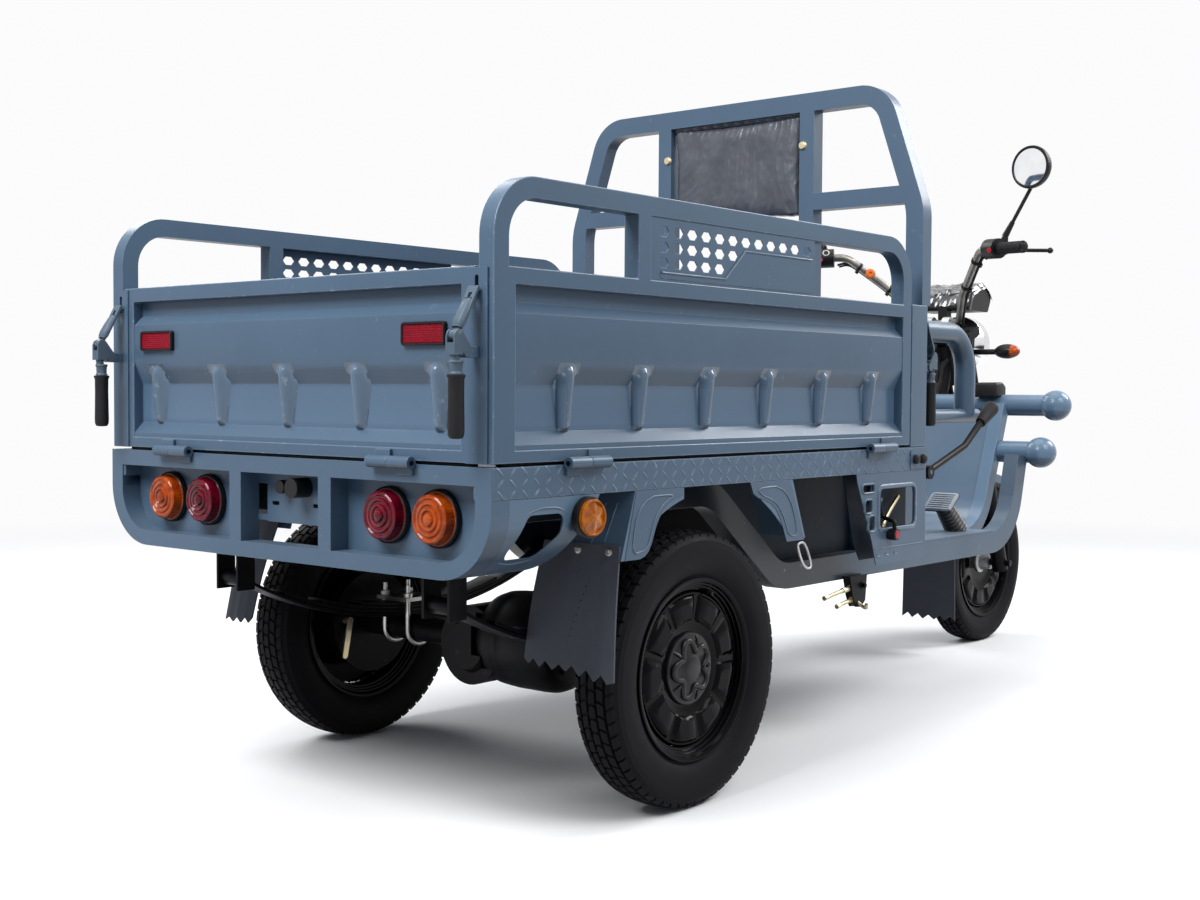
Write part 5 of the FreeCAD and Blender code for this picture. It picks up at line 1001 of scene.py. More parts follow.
lens = {
    "ringed": {"count": 90, "knurled": (3, 4), "wedged": (), "rows": [  # shares of radius and depth
        (1.0, 0.0), (1.0, 0.09), (0.975, 0.13), (0.955, 0.14), (0.90, 0.60), (0.875, 0.72), (0.82, 0.79),
        (0.76, 0.80), (0.71, 0.72), (0.66, 0.70), (0.62, 0.80), (0.55, 0.83), (0.50, 0.73), (0.45, 0.72),
        (0.41, 0.84), (0.34, 0.87), (0.29, 0.76), (0.24, 0.76), (0.20, 0.90), (0.13, 0.97), (0.05, 1.0)]},
    "wedged": {"count": 60, "knurled": (), "wedged": (4, 5, 6), "rows": [
        (1.0, 0.0), (1.0, 0.6), (0.95, 0.8), (0.88, 0.8), (0.84, 0.62), (0.5, 0.72), (0.18, 0.92),
        (0.06, 1.0)]},
}


def lensShape(kind, radius, depth):
    # local Z outward: ring lenses behind a knurled wall, or six wedges inside a plain rim
    look = lens[kind]
    count = look["count"]
    points = []
    for j, (share, lift) in enumerate(look["rows"]):
        for k in range(count):
            angle = 2 * math.pi * k / count
            r, z = share * radius, lift * depth
            if j in look["knurled"] and k % 2:
                r *= 0.982
            if j in look["wedged"]:
                z -= depth * 0.30 * share * abs((k % 10) / 5 - 1)
            points.append((r * math.cos(angle), r * math.sin(angle), z))
    return points, cappedSkin(len(look["rows"]), count)


def lampDish(radius, depth):
    return turned([(radius * 1.05, -0.001), (radius * 1.05, depth * 0.10), (radius * 1.01, depth * 0.14),
                   (radius * 0.98, depth * 0.05), (radius * 0.98, -0.001)], 72, True)


def makeLenses(node, finish):
    shapes, bezels, markers = [], [], []
    mesh = solidOf(node)
    for group in islandsOf(mesh):
        low, high = boxOf(group)
        middle, size = (low + high) / 2, (high - low) / 1000
        rear = high.x - low.x < 40  # a rear lamp; a marker lies on the side
        radius, depth = (high.z - low.z) / 2000, size.x if rear else size.y
        outward = Vector((-1, 0, 0)) if rear else Vector((0, math.copysign(1, middle.y), 0))
        stand = facing(at(*middle) - outward * depth / 2, outward)
        if rear:
            shapes.append(moved(lensShape("ringed", radius, depth), stand))
            bezels.append(moved(lampDish(radius, depth), stand))
        else:
            markers.append(moved(lensShape("wedged", radius, depth), stand))
    mesh.free()
    addPiece("lens_" + node, joined(shapes), "chassis", finish, [node], 24)
    if markers:
        addPiece("marker_" + node, joined(markers), "chassis", "markerLens", [node], 24)
    addPiece("bezel_" + node, joined(bezels), "chassis", "blackPlastic", sharp=30)


makeLenses("red_lenses", "redLens")
makeLenses("amber_lenses", "amberLens")

reflector = {"border": 0.008, "plateShare": 0.72, "cells": (24, 8), "pyramid": 0.0011,
             "corner": 0.006, "round": 32}


def gridPlate(wide, high, thick):
    # plate in local XY with a pyramid on each cell
    across, up = reflector["cells"]
    points, faces = [], []
    for j in range(up + 1):
        for i in range(across + 1):
            points.append(((i / across - 0.5) * wide, (j / up - 0.5) * high, thick))
    peakHigh = thick + reflector["pyramid"]
    for corner in skin(up + 1, across + 1, False):
        j, i = divmod(corner[0], across + 1)
        peak = len(points)
        points.append((((i + 0.5) / across - 0.5) * wide, ((j + 0.5) / up - 0.5) * high, peakHigh))
        faces += [(corner[k], corner[(k + 1) % 4], peak) for k in range(4)]
    return points, faces


def reflectorRim(wide, tall, deep):
    corner, count = reflector["corner"], reflector["round"]
    rings = [(0, 0), (0, deep * 0.8), (0.0012, deep), (0.0034, deep), (0.0045, deep * 0.6)]  # inset, lift
    points = []
    for inset, lift in rings:
        for k in range(count):
            angle = 2 * math.pi * (k + 0.5) / count
            c, s = math.cos(angle), math.sin(angle)
            points.append((math.copysign(wide / 2 - corner, c) + (corner - inset) * c,
                           math.copysign(tall / 2 - corner, s) + (corner - inset) * s, lift))
    return points, cappedSkin(len(rings), count)


def makeReflectors(node):
    mesh = solidOf(node)
    plates, rims = [], []
    turn = Matrix(((0, 0, -1, 0), (-1, 0, 0, 0), (0, 1, 0, 0), (0, 0, 0, 1)))  # local Z to the rear
    for group in islandsOf(mesh):
        low, high = boxOf(group)
        middle = (low + high) / 2
        stand = Matrix.Translation(at(high.x, middle.y, middle.z)) @ turn
        deep, wide, tall = (high - low) / 1000
        border = reflector["border"]
        plates.append(moved(gridPlate(wide - border, tall - border, deep * reflector["plateShare"]), stand))
        rims.append(moved(reflectorRim(wide, tall, deep), stand))
    mesh.free()
    addPiece("reflector_plates", joined(plates), bodyOf[node], "redPlate", [node], 10)
    addPiece("reflector_rims", joined(rims), bodyOf[node], "blackPlastic", [node], 35)


makeReflectors("tailgate_reflectors")
print("lamps and reflectors made")


# Steering: grips, mirrors, signals

bar = {"pod": (2188, 260, 1137), "run": (-0.469, 0.882, -0.040),  # left switch pod, way along the grip
       "grip": (29, 126), "radius": 0.0165, "bore": 0.0117, "ribs": 17,
       "mirror": (2188, 362, 1346), "mirrorRadius": 0.056, "tilt": 9}


def alongGrip(reach, side):
    x, y, z = bar["pod"]
    a, b, c = bar["run"]
    return at(x + a * reach, side * (y + b * reach), z + c * reach)


def makeGrip(side, name, stands):
    start, end = (alongGrip(reach, side) for reach in bar["grip"])
    length, r, bore = (end - start).length, bar["radius"], bar["bore"]
    outline = [(bore, 0.0), (r, 0.0), (r + 0.0004, 0.001), (r + 0.0004, 0.004), (r - 0.0025, 0.005)]
    pitch = (length - 0.012) / bar["ribs"]
    for i in range(bar["ribs"]):
        base = 0.0055 + i * pitch
        outline += [(r - 0.002, base), (r - 0.0004, base + pitch * 0.25), (r - 0.0004, base + pitch * 0.65),
                    (r - 0.002, base + pitch * 0.9)]
    outline += [(r, length - 0.005), (r, length - 0.0015), (r - 0.0015, length), (bore, length)]
    flutes = lambda step, index, rad: rad - (0.0007 if rad > 0.013 and step % 4 == 0 else 0)
    fluted = turned(outline, 40, True, flutes)
    body = "throttle" if side < 0 else "steering"
    addPiece(name, moved(fluted, facing(start, end - start)), body, "gripRubber", stands, 45)


def mirrorStand(side, ahead=0.0):
    x, y, z = bar["mirror"]
    tilt = math.radians(bar["tilt"])
    look = Vector((-math.cos(tilt), -side * math.sin(tilt), 0))
    return facing(at(x, side * y, z) + look * ahead, look)


def makeMirrorGlass(side):
    r, stand, body = bar["mirrorRadius"], mirrorStand(side, 0.005), "mirror_" + sideName(side)
    rim = turned([(r - 0.0075, -0.002), (r - 0.0075, 0.0008), (r - 0.005, 0.0022), (r - 0.0018, 0.0018),
                  (r - 0.0005, -0.0008), (r - 0.003, -0.002)], 72, True)
    glass = turned([(r - 0.007, -0.001), (r - 0.007, 0.0002), (r * 0.6, 0.0009), (r * 0.25, 0.0013),
                    (0.001, 0.0014)], 72)
    addPiece("rim_" + body, moved(rim, stand), body, "capBlack")
    addPiece("glass_" + body, moved(glass, stand), body, "mirrorGlass")


def makeSignals():
    mesh = solidOf("front_signals")
    for group in islandsOf(mesh):
        low, high = boxOf(group)
        bulb = high.z - low.z > 41 and high.y - low.y > 60
        middle = (low.y + high.y) / 2
        for face in group:
            out = (face.calc_center_median().y * 1000 - middle) * (1 if middle > 0 else -1)
            face.material_index = 1 if bulb and out > 16 else 0
    addPiece("bulbs_front_signals", mesh, "steering", ["blackPlastic", "amberLens"],
             ["front_signals"], 40)


makeGrip(-1, "ribbed_throttle_grip", ["throttle_grip"])
makeGrip(1, "ribbed_left_grip", [])
for side in bothSides:
    makeMirrorGlass(side)
makeSignals()
print("steering trim made")


# Mud flaps: a slack rubber sheet with worn teeth

flaps = {
    # top edge (x, y, z) from one end to the other, then the worn lower edge in the same direction
    "right": ([(311, -330, 492), (311, -497, 492)],
              [(290, -303, 287), (288, -314, 279), (287, -326, 290), (286, -341, 276), (286, -354, 289),
               (285, -371, 275), (285, -386, 287), (285, -400, 276), (285, -415, 288), (285, -431, 271),
               (285, -447, 284), (285, -463, 266), (286, -478, 279), (287, -490, 264), (288, -504, 268)]),
    "left": ([(300, 375, 492), (300, 478, 492)],
             [(246, 398, 290), (244, 408, 279), (243, 418, 290), (241, 429, 278), (240, 440, 289),
              (239, 451, 278), (238, 461, 288), (237, 472, 281)]),
    "front": ([(2347, 80, 340), (2347, -80, 340)],
              [(2346, 84, 95), (2346, 66, 108), (2346, 52, 94), (2346, 34, 107), (2346, 18, 93),
               (2346, 0, 106), (2346, -18, 94), (2346, -36, 108), (2346, -52, 95),
               (2346, -68, 108), (2346, -84, 96)]),
}
flapLook = {"thick": 0.0038, "rows": 16, "bow": 0.006, "frontBow": 0.001, "dots": 15, "dot": 0.0016,
            "dotLine": ((311, -452, 470), (287, -398, 300))}


def flapSheet(top, teeth, bow):
    rows, count = flapLook["rows"], len(teeth) * 2 - 1
    points = []
    for layer in (0, 1):
        for j in range(rows + 1):
            t = j / rows
            for i in range(count):
                s = i / (count - 1)
                k = min(i // 2, len(teeth) - 2)
                low = at(*teeth[k]).lerp(at(*teeth[k + 1]), i / 2 - k)
                p = at(*top[0]).lerp(at(*top[1]), s).lerp(low, t)
                p.x -= bow * math.sin(math.pi * t) * (1 + 0.5 * math.sin(5 * s)) - layer * flapLook["thick"]
                points.append(p)
    return points, shellSkin(rows, count)


def makeFlaps():
    parts = [flapSheet(*edges, flapLook["frontBow" if name == "front" else "bow"])
             for name, edges in flaps.items()]
    addPiece("worn_flaps", joined(parts), "chassis", "flapRubber", ["mud_flaps"], 35)
    dots, size = [], flapLook["dot"]
    first, last = (at(*end) for end in flapLook["dotLine"])
    for n in range(flapLook["dots"]):
        share = n / (flapLook["dots"] - 1)
        spot = first.lerp(last, share)
        spot.x -= flapLook["bow"] * math.sin(math.pi * share) * 1.2 + 0.0008
        dot = turned([(size, 0), (size * 0.7, 0.0008), (0.0003, 0.0011)], 8)
        dots.append(moved(dot, facing(spot, (-1, 0, 0))))
    addPiece("flap_dots", joined(dots), "chassis", "gripRubber", sharp=60)


makeFlaps()
print("flaps made")


# Gate ribs: a gusset under the band that narrows down the field

ribLook = {"top": 792, "bottom": 680, "slope": (755, 796), "deep": 18, "crest": 5.0, "rows": 34, "sheet": 0.8,
           "across": (-1, -0.8, -0.55, -0.3, -0.12, 0.12, 0.3, 0.55, 0.8, 1)}
sideRibs = [184, 374, 565, 755, 946, 1136]
gateRibs = {"tailgate": ("x", 23, [-372, -186, 0, 186, 372]),
            "side_gate_right": ("y", -482, sideRibs), "side_gate_left": ("y", 482, sideRibs)}


def pressedDepth(z):
    low, high = ribLook["slope"]
    return ribLook["deep"] * limited((z - low) / (high - low))


def ribShape(place):
    # place(across, proud, z) gives the point
    rows, top, bottom, crest = (ribLook[k] for k in ("rows", "top", "bottom", "crest"))
    points = []
    for layer in (0, 1):
        for j in range(rows + 1):
            z = top + (bottom - top) * j / rows
            tall = 20.0 - 9.5 * limited((772 - z) / 80)
            fade = limited((z - bottom) / 14)
            tall *= math.sin(fade * math.pi / 2) * math.sqrt(1 - limited((z - 774) / 19) ** 2)  # foot, nub
            wide = 14 + 12 * limited((z - 690) / 65)
            for share in ribLook["across"]:
                across = share * wide
                down = limited((abs(across) - crest) / (wide - crest))
                proud = max(tall * (1 - down) ** 1.12, pressedDepth(z) - 0.3)
                points.append(place(across, proud - ribLook["sheet"] * layer, z))
    return points, shellSkin(rows, len(ribLook["across"]))


def makeRibs(body):
    plane, deep, places = gateRibs[body]
    out = math.copysign(1, deep)
    shapes = []
    for mid in places:
        if plane == "x":
            shapes.append(ribShape(lambda across, proud, z: at(deep - proud, mid + across, z)))
        else:
            shapes.append(ribShape(lambda across, proud, z: at(mid + across, deep + out * proud, z)))
    addPiece("ribs_" + body, joined(shapes), body, "ribPaint", sharp=50)


for name in gateRibs:
    makeRibs(name)
print("gate ribs made")


# Pressed panels beside the wheels, with raised borders, bolts and a loop link

panel = {
    "rear": [(347, 581), (479, 581), (477, 568), (455, 563), (437, 556), (422, 546), (411, 534), (402, 520),
             (395, 504), (389, 490), (382, 479), (372, 471), (358, 467), (318, 467)],
    "rearBorder": [(356, 570), (458, 572), (430, 562), (408, 547), (396, 530), (387, 508), (380, 490),
                   (368, 479), (332, 477)],
    "front": [(684, 581), (819, 581), (869, 464), (808, 464), (800, 480), (792, 497), (782, 514), (769, 529),
              (752, 540), (732, 547), (709, 553), (693, 562)],
    "frontBorder": [(702, 571), (806, 571), (851, 474), (815, 474), (801, 503), (788, 522), (773, 538),
                    (750, 549), (722, 556)],
    "window": [(80, 566), (176, 566), (176, 520), (138, 478), (44, 478), (62, 520)],
    "lines": [((338, -444, 562), (316, -430, 492)), ((338, -470, 562), (318, -458, 496))],
    "bolts": [(308.5, -409, 481), (308.5, -476, 481)],
    "corner": (390, 567, 112),  # middle of the skirt's rounded corner and its radius
    "link": [(918, -462, 452), (908, -462, 446), (932, -462, 404), (955, -462, 396), (963, -462, 404),
             (938, -462, 450)],
    "proud": 0.9, "thick": 3.4,
}


def onSide(points, side):
    # points given for the right, taken to either side
    return [at(x, -side * y, z) for x, y, z in points]


def skirtSide(z):
    y, middle, radius = panel["corner"]
    drop = max(middle - z, 0)
    return y + math.sqrt(radius ** 2 - drop ** 2)


def makePanels(side):
    name = sideName(side)
    y = side * (sideFace + panel["proud"])
    plates = [plateXZ(panel[k], y, y - side * panel["thick"]) for k in ("rear", "front")]
    addPiece("stay_panels_" + name, joined(plates), "chassis", "slatePaint", sharp=30)
    beads = [bead([at(x, y, z) for x, z in panel[k]], 0.0016, True) for k in ("rearBorder", "frontBorder")]
    beads.append(bead([at(x, side * skirtSide(z), z) for x, z in panel["window"]], 0.0018, True, 3))
    beads += [bead(onSide(line, side), 0.0017, False, 0) for line in panel["lines"]]
    addPiece("pressed_lines_" + name, joined(beads), "chassis", "slateEdge", sharp=60)
    bolts = [hexBolt(spot, (-1, 0, 0.2), 0.009) for spot in onSide(panel["bolts"], side)]
    addPiece("flap_bolts_" + name, joined(bolts), "chassis", "bareSteel", sharp=30)
    link = bead(onSide(panel["link"], side), 0.0026, True)
    addPiece("loop_link_" + name, link, "chassis", "castAlloy", sharp=60)


for side in bothSides:
    makePanels(side)


# Tread plate on the bed: rows of low crossed lugs

tread = {"long": 0.012, "wide": 0.0034, "flat": 0.005, "high": 0.0011, "sunk": 0.0004,
         "sideStart": 20, "sideStep": 27, "sideCount": 49, "sideRows": (590, 607, 624),
         "deckStart": 72, "deckStep": 38, "deckCount": 32, "deckHalf": 11, "deckHigh": 632}


def lug(spot, odd, face=Matrix()):
    a, b, c, low, h = (tread[k] for k in ("long", "wide", "flat", "sunk", "high"))
    points = [(x, y, -low) for x, y in ((-a, 0), (-c, -b), (c, -b), (a, 0), (c, b), (-c, b))]
    points += [(-c, 0, h), (c, 0, h)]
    faces = [(0, 1, 6), (1, 2, 7, 6), (2, 3, 7), (3, 4, 7), (4, 5, 6, 7), (5, 0, 6), (5, 4, 3, 2, 1, 0)]
    turn = Matrix.Rotation(math.radians(45 if odd else -45), 4, "Z")
    return moved((points, faces), Matrix.Translation(spot) @ face @ turn)


def makeTread():
    lugs = []
    for side in bothSides:
        face = Matrix.Rotation(math.radians(-side * 90), 4, "X")
        for j, z in enumerate(tread["sideRows"]):
            for i in range(tread["sideCount"]):
                spot = at(tread["sideStart"] + i * tread["sideStep"], side * sideFace, z)
                lugs.append(lug(spot, (i + j) % 2, face))
    step, half = tread["deckStep"], tread["deckHalf"]
    for i in range(tread["deckCount"]):
        for j in range(-half, half + 1):
            lugs.append(lug(at(tread["deckStart"] + i * step, j * step, tread["deckHigh"]), (i + j) % 2))
    addPiece("tread_lugs", joined(lugs), "chassis", "slateEdge", sharp=20)


makeTread()
print("panels and tread plate made")


# Motor drum, smooth and round at both ends

motor = {"bore": 0.02, "boltRing": 0.58, "boltSize": 0.010, "bolts": 6,
         "nearEnd": [(0.72, 0.0), (0.84, 0.004), (0.93, 0.013), (0.985, 0.028), (1, 0.048)],
         "farEnd": [(1, 0.07), (0.992, 0.069), (0.99, 0.055), (0.965, 0.03), (0.9, 0.012), (0.8, 0.003),
                    (0.68, 0)]}  # share of the radius, distance from that end


def makeMotor():
    low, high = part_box("drive_motor")
    middle = (low + high) / 2
    radius, length = (high.z - low.z) / 2 - 0.002, high.y - low.y
    outline = [(motor["bore"], 0)] + [(radius * share, reach) for share, reach in motor["nearEnd"]]
    outline += [(radius * share, length - reach) for share, reach in motor["farEnd"]]
    outline.append((motor["bore"], length))
    ring, bolts = radius * motor["boltRing"], []
    for k in range(motor["bolts"]):
        a = 2 * math.pi * k / motor["bolts"]
        bolts.append(hexBolt((ring * math.cos(a), ring * math.sin(a), 0.001), (0, 0, -1), motor["boltSize"]))
    stand = facing((middle.x, low.y, middle.z), (0, 1, 0))
    drum = moved(turned(outline, 72, True), stand)
    addPiece("drum_motor", drum, "rear_axle", "darkSteel", ["drive_motor"], 40)
    heads = moved(joined(bolts), stand)
    addPiece("drum_motor_bolts", heads, "rear_axle", "darkSteel", sharp=30)


makeMotor()


# Film left on the instrument hood, slack and creased

film = {"line": [(2407, 1000), (2413, 1022), (2428, 1048), (2468, 1062), (2505, 1070),
                 (2528, 1058), (2544, 1034)],
        "half": 90, "across": 44, "along": 36, "crease": 0.0065, "edge": 0.86, "edgeDrop": 0.016}


def makeFilm():
    path = smoothed([(x, 0, z) for x, z in film["line"]])
    points = []
    across, along, crease = film["across"], film["along"], film["crease"]
    for i in range(along + 1):
        place = i / along * (len(path) - 1)
        k = min(int(place), len(path) - 2)
        spot = path[k].lerp(path[k + 1], place - k)
        for j in range(across + 1):
            share = j / across * 2 - 1
            p = at(spot.x, share * film["half"], spot.z)
            a = noise.noise(Vector((p.x * 26, p.y * 20, 3.1)))
            b = noise.noise(Vector((p.x * 60 + p.y * 44, p.y * 52 - p.x * 30, 8.7)))
            p.z += crease * (abs(a) * 1.5 + abs(b) * 0.8 - 0.15)
            p.x += crease * 0.7 * b
            p.z -= film["edgeDrop"] * max(0, abs(share) - film["edge"]) / (1 - film["edge"])
            points.append(p)
    faces = skin(along + 1, across + 1, False)
    piece = addPiece("hood_film", (points, faces), "steering", "clearFilm", sharp=18)


makeFilm()


# Windowed access panels: a pressed frame round each opening, a rod behind, and dark sheets of painted shade
# behind the windows and under the bed

access = {
    "openings": [((1162, 1312, 466, 548), 14, 9), ((1092, 1136, 544, 558), 5, 4),
                 ((1102, 1128, 502, 526), 6, 4),
                 ((1118, 1140, 464, 492), 6, 4)],  # x and z limits, corner, width of the frame
    "behind": [(1080, 578), (1345, 578), (1345, 398), (1150, 398), (1120, 440)],
    "shadeSplash": [(846, 588), (1400, 588), (1400, 352), (1030, 352), (985, 380), (846, 520)],
    "crease": [(1142, 424), (1240, 424), (1352, 424)],
    "marks": (1150, 1188, 1226), "markHigh": 408,
    "stopPlate": [(1290, 586), (1358, 586), (1358, 626), (1290, 626)],
    "stops": [(1308, 606), (1340, 606)],
    "stud": [(0.006, 0), (0.010, 0.001), (0.0105, 0.006), (0.009, 0.0085), (0.005, 0.010)],
}
gearKnob = {
    "foot": (1201.5, -504, 452), "rod": [(1216, -478, 464), (1240, -478, 492), (1284, -478, 527)],
    "outline": [(0.004, -0.001), (0.0112, -0.001), (0.0122, 0.001), (0.0125, 0.004), (0.0125, 0.016),
                (0.0118, 0.0185), (0.004, 0.0188)],
    "end": [(0.0092, 0.0165), (0.0092, 0.0186), (0.0084, 0.0196), (0.004, 0.0199), (0.0005, 0.0199)],
}


def pressedFrame(corners, radius, wide, side):
    # a low rolled frame round an opening in the side sheet, turned in at the opening
    section = [(0.4, -5), (0.4, 1.0), (1.6, 2.4), (wide * 0.7, 2.6), (wide, 0.9), (wide + 1, -0.6),
               (2, -0.6), (2, -5)]
    path = filleted(corners, radius)
    centre = sum(path, Vector((0, 0))) / len(path)
    points, count = [], len(path)
    for i, p in enumerate(path):
        along = (path[(i + 1) % count] - path[i - 1]).normalized()
        out = Vector((along.y, -along.x))
        out = -out if out.dot(p - centre) < 0 else out
        for offset, proud in section:
            q = p + out * offset
            points.append(at(q.x, side * (sideFace + proud), q.y))
    return points, skin(count, len(section), True, True)


def makeAccess(side):
    name, y, z = sideName(side), side * sideFace, access["markHigh"]
    frames = []
    for (x0, x1, z0, z1), radius, wide in access["openings"]:
        frames.append(pressedFrame([(x0, z0), (x1, z0), (x1, z1), (x0, z1)], radius, wide, side))
    frames.append(bead([at(x, y, high) for x, high in access["crease"]], 0.0013, False, 1))
    for x in access["marks"]:
        frames.append(bead([at(x, y, z + 7), at(x, y, z), at(x + 14, y, z)], 0.0012, False, 1))
    addPiece("access_frames_" + name, joined(frames), "chassis", "slateEdge", sharp=40)
    # dark sheets put where there is only shade: painted shade behind the window and under the bed
    dark = [plateXZ(access[key], side * outer, side * inner)
            for key, outer, inner in (("behind", 463, 461), ("shadeSplash", 313, 311))]
    addPiece("shade_sheets_" + name, joined(dark), "chassis", "shadePaint", sharp=30)
    plate = plateXZ(access["stopPlate"], y, side * (sideFace + 2.5))
    addPiece("stop_plate_" + name, plate, "chassis", "slatePaint", sharp=30)
    studs = [moved(turned(access["stud"], 20), facing(at(x, side * (sideFace + 2), high), (0, side, 0)))
             for x, high in access["stops"]]
    addPiece("rubber_stops_" + name, joined(studs), "chassis", "gripRubber", sharp=40)


def makeGearKnob():
    # fluted black knob with a red end, and the rod behind the window
    foot = facing(at(*gearKnob["foot"]), (0, -1, 0))
    flutes = lambda step, index, rad: rad - (0.0011 if index in (2, 3, 4) and step % 4 < 2 else 0)
    fluted = turned(gearKnob["outline"], 48, True, flutes)
    addPiece("fluted_gear_knob", moved(fluted, foot), "gear_lever", "blackPlastic",
             ["gear_lever"], 35)
    end = turned(gearKnob["end"], 8)
    addPiece("gear_knob_end", moved(end, foot), "gear_lever", "redPlastic", sharp=30)
    path = [at(*p) for p in gearKnob["rod"]]
    eye = moved(collar(0.0045, 0.0085, 0.004, 24), facing(path[0], (0, 1, 0)))
    rod = joined([roundRod(smoothed(path), 0.0042), eye])
    addPiece("shift_rod", rod, "chassis", "zincGold", sharp=40)


for side in bothSides:
    makeAccess(side)
makeGearKnob()
print("access panels made")


# Ribbed cover on the pedal's pad

pedal = {"place": (1851.5, -292, 470), "half": (31, 35), "corner": 7,
         "layers": ((1.03, 0.004), (1.03, 0.0095), (0.98, 0.0112)),  # scale, lift
         "ribs": range(-24, 25, 8), "ribHalf": 0.030, "ribRadius": 0.0024}


def makePedalTread():
    lean = Matrix(((0.8, 0, -0.6, 0), (0, 1, 0, 0), (0.6, 0, 0.8, 0), (0, 0, 0, 1)))
    stand = Matrix.Translation(at(*pedal["place"])) @ lean
    a, b = pedal["half"]
    path = filleted([(-a, -b), (a, -b), (a, b), (-a, b)], pedal["corner"])
    points = [(p.x * scale / 1000, p.y * scale / 1000, lift) for scale, lift in pedal["layers"] for p in path]
    parts = [(points, cappedSkin(len(pedal["layers"]), len(path)))]
    y = pedal["ribHalf"]
    for x in pedal["ribs"]:
        line = [(x / 1000, -y, 0.0112), (x / 1000, 0, 0.0116), (x / 1000, y, 0.0112)]
        parts.append(roundRod(line, pedal["ribRadius"], 10))
    addPiece("pedal_tread", moved(joined(parts), stand), "brake_pedal", "paleFilm", sharp=35)


makePedalTread()


# Seals under the gates

seal = {"radius": 0.0024, "high": 634.4, "tail": [(12, 452), (21, 452)],
        "sides": [(36, 1284, 478), (36, 1284, 489)]}


def makeSeals():
    z = seal["high"]
    lines = [[at(x, -y, z), at(x, 0, z), at(x, y, z)] for x, y in seal["tail"]]
    lines += [[at(x0, side * y, z), at(x1, side * y, z)] for x0, x1, y in seal["sides"] for side in bothSides]
    rods = [roundRod(line, seal["radius"], 10) for line in lines]
    addPiece("gate_seals", joined(rods), "chassis", "gripRubber", sharp=50)


makeSeals()


# Latch castings: a claw on each hook, a rubber sleeve and a neck on each handle

latch = {
    "tail": (0, -1, 470), "front": (1362, 1, 488),  # face, way out, y
    "elbow": (45, 829), "tip": (5, 903),  # out and z
    "claw": [(12, 17, 9), (16, 21, 13), (24, 22, 15), (40, 20, 13), (54, 17, 10),
             (62, 15, 6)],  # along, wide, thick
    "section": ((-1, -0.5), (-1, 0.4), (-0.62, 1), (0.62, 1), (1, 0.4), (1, -0.5)),  # shares of wide, thick
    "sleeve": [(0.0114, 0.0), (0.0118, 0.0), (0.0138, 0.0008), (0.0142, 0.003), (0.0132, 0.0052),
               (0.0123, 0.007), (0.0120, 0.03), (0.0124, 0.06)],
    "sleeveEnd": [(0.0128, -0.012), (0.0124, -0.004), (0.0100, 0.001), (0.004, 0.002)],  # from the grip's end
    "neck": [(0.0072, -0.021), (0.0105, -0.0205), (0.0112, -0.018), (0.0096, -0.015), (0.0092, -0.004),
             (0.0108, -0.002), (0.0108, 0.0), (0.0072, 0.0005)],
}


def clawShape(place, side):
    face, way, y = latch[place]
    elbow, tip = (at(face + way * reach, side * y, z) for reach, z in (latch["elbow"], latch["tip"]))
    along, across = (tip - elbow).normalized(), Vector((0, 1, 0))
    out = along.cross(across)
    out = -out if out.x * way < 0 else out
    points = []
    for reach, wide, thick in latch["claw"]:
        for a, b in latch["section"]:
            points.append(elbow + (along * reach + across * a * wide / 2 + out * (b * thick / 2 + 1)) / 1000)
    rows, count = len(latch["claw"]), len(latch["section"])
    ends = [tuple(range(count)), tuple(reversed(range((rows - 1) * count, rows * count)))]
    return points, skin(rows, count) + ends


def makeLatch(place, side):
    name = f"{place}_{sideName(side)}"
    handle = f"{place}_latch_handle_{sideName(side)}"
    claw = meshOf(clawShape(place, side))
    rounded(claw, 0.0012, 2, 0)
    addPiece("claw_" + name, claw, handle.replace("handle", "hook"), "latchCast", sharp=35)
    mesh = solidOf(handle)
    for group in islandsOf(mesh):
        low, high = boxOf(group)
        if high.z < gripTop:
            middle, length = (low + high) / 2, (high.z - low.z) / 1000
            stand = facing(at(middle.x, middle.y, high.z), (0, 0, -1))
            sleeve = turned(latch["sleeve"] + [(r, length + h) for r, h in latch["sleeveEnd"]], 28)
            addPiece("sleeve_" + name, moved(sleeve, stand), handle, "gripRubber", sharp=50)
            neck = turned(latch["neck"], 28, True)
            addPiece("neck_" + name, moved(neck, stand), handle, "latchCast", sharp=40)
    mesh.free()


for place in ("tail", "front"):
    for side in bothSides:
        makeLatch(place, side)


# Embossed lines on the side gates, bowls behind the mirrors

emboss = {"line": [(412, 949), (600, 949), (662, 1003), (888, 1003)], "face": 501.2, "radius": 0.0019}


def makeEmboss(side):
    name = sideName(side)
    line = bead([at(x, side * emboss["face"], z) for x, z in emboss["line"]], emboss["radius"], False, 0)
    addPiece("embossed_line_" + name, line, "side_gate_" + name, "gateEdge", sharp=60)


def makeMirrorBowl(side):
    r, body = bar["mirrorRadius"], "mirror_" + sideName(side)
    bowl = turned([(r - 0.0004, 0.004), (r + 0.0006, 0.001), (r * 0.992, -0.007), (r * 0.94, -0.015),
                   (r * 0.82, -0.020), (r * 0.5, -0.023), (0.008, -0.0235), (0.008, -0.010),
                   (r * 0.8, -0.002), (r * 0.97, 0.004)], 72, True)
    addPiece("bowl_" + body, moved(bowl, mirrorStand(side)), body, "blackPlastic", sharp=50)


for side in bothSides:
    makeEmboss(side)
    makeMirrorBowl(side)


# Brake rods with their bracket, and the socket box

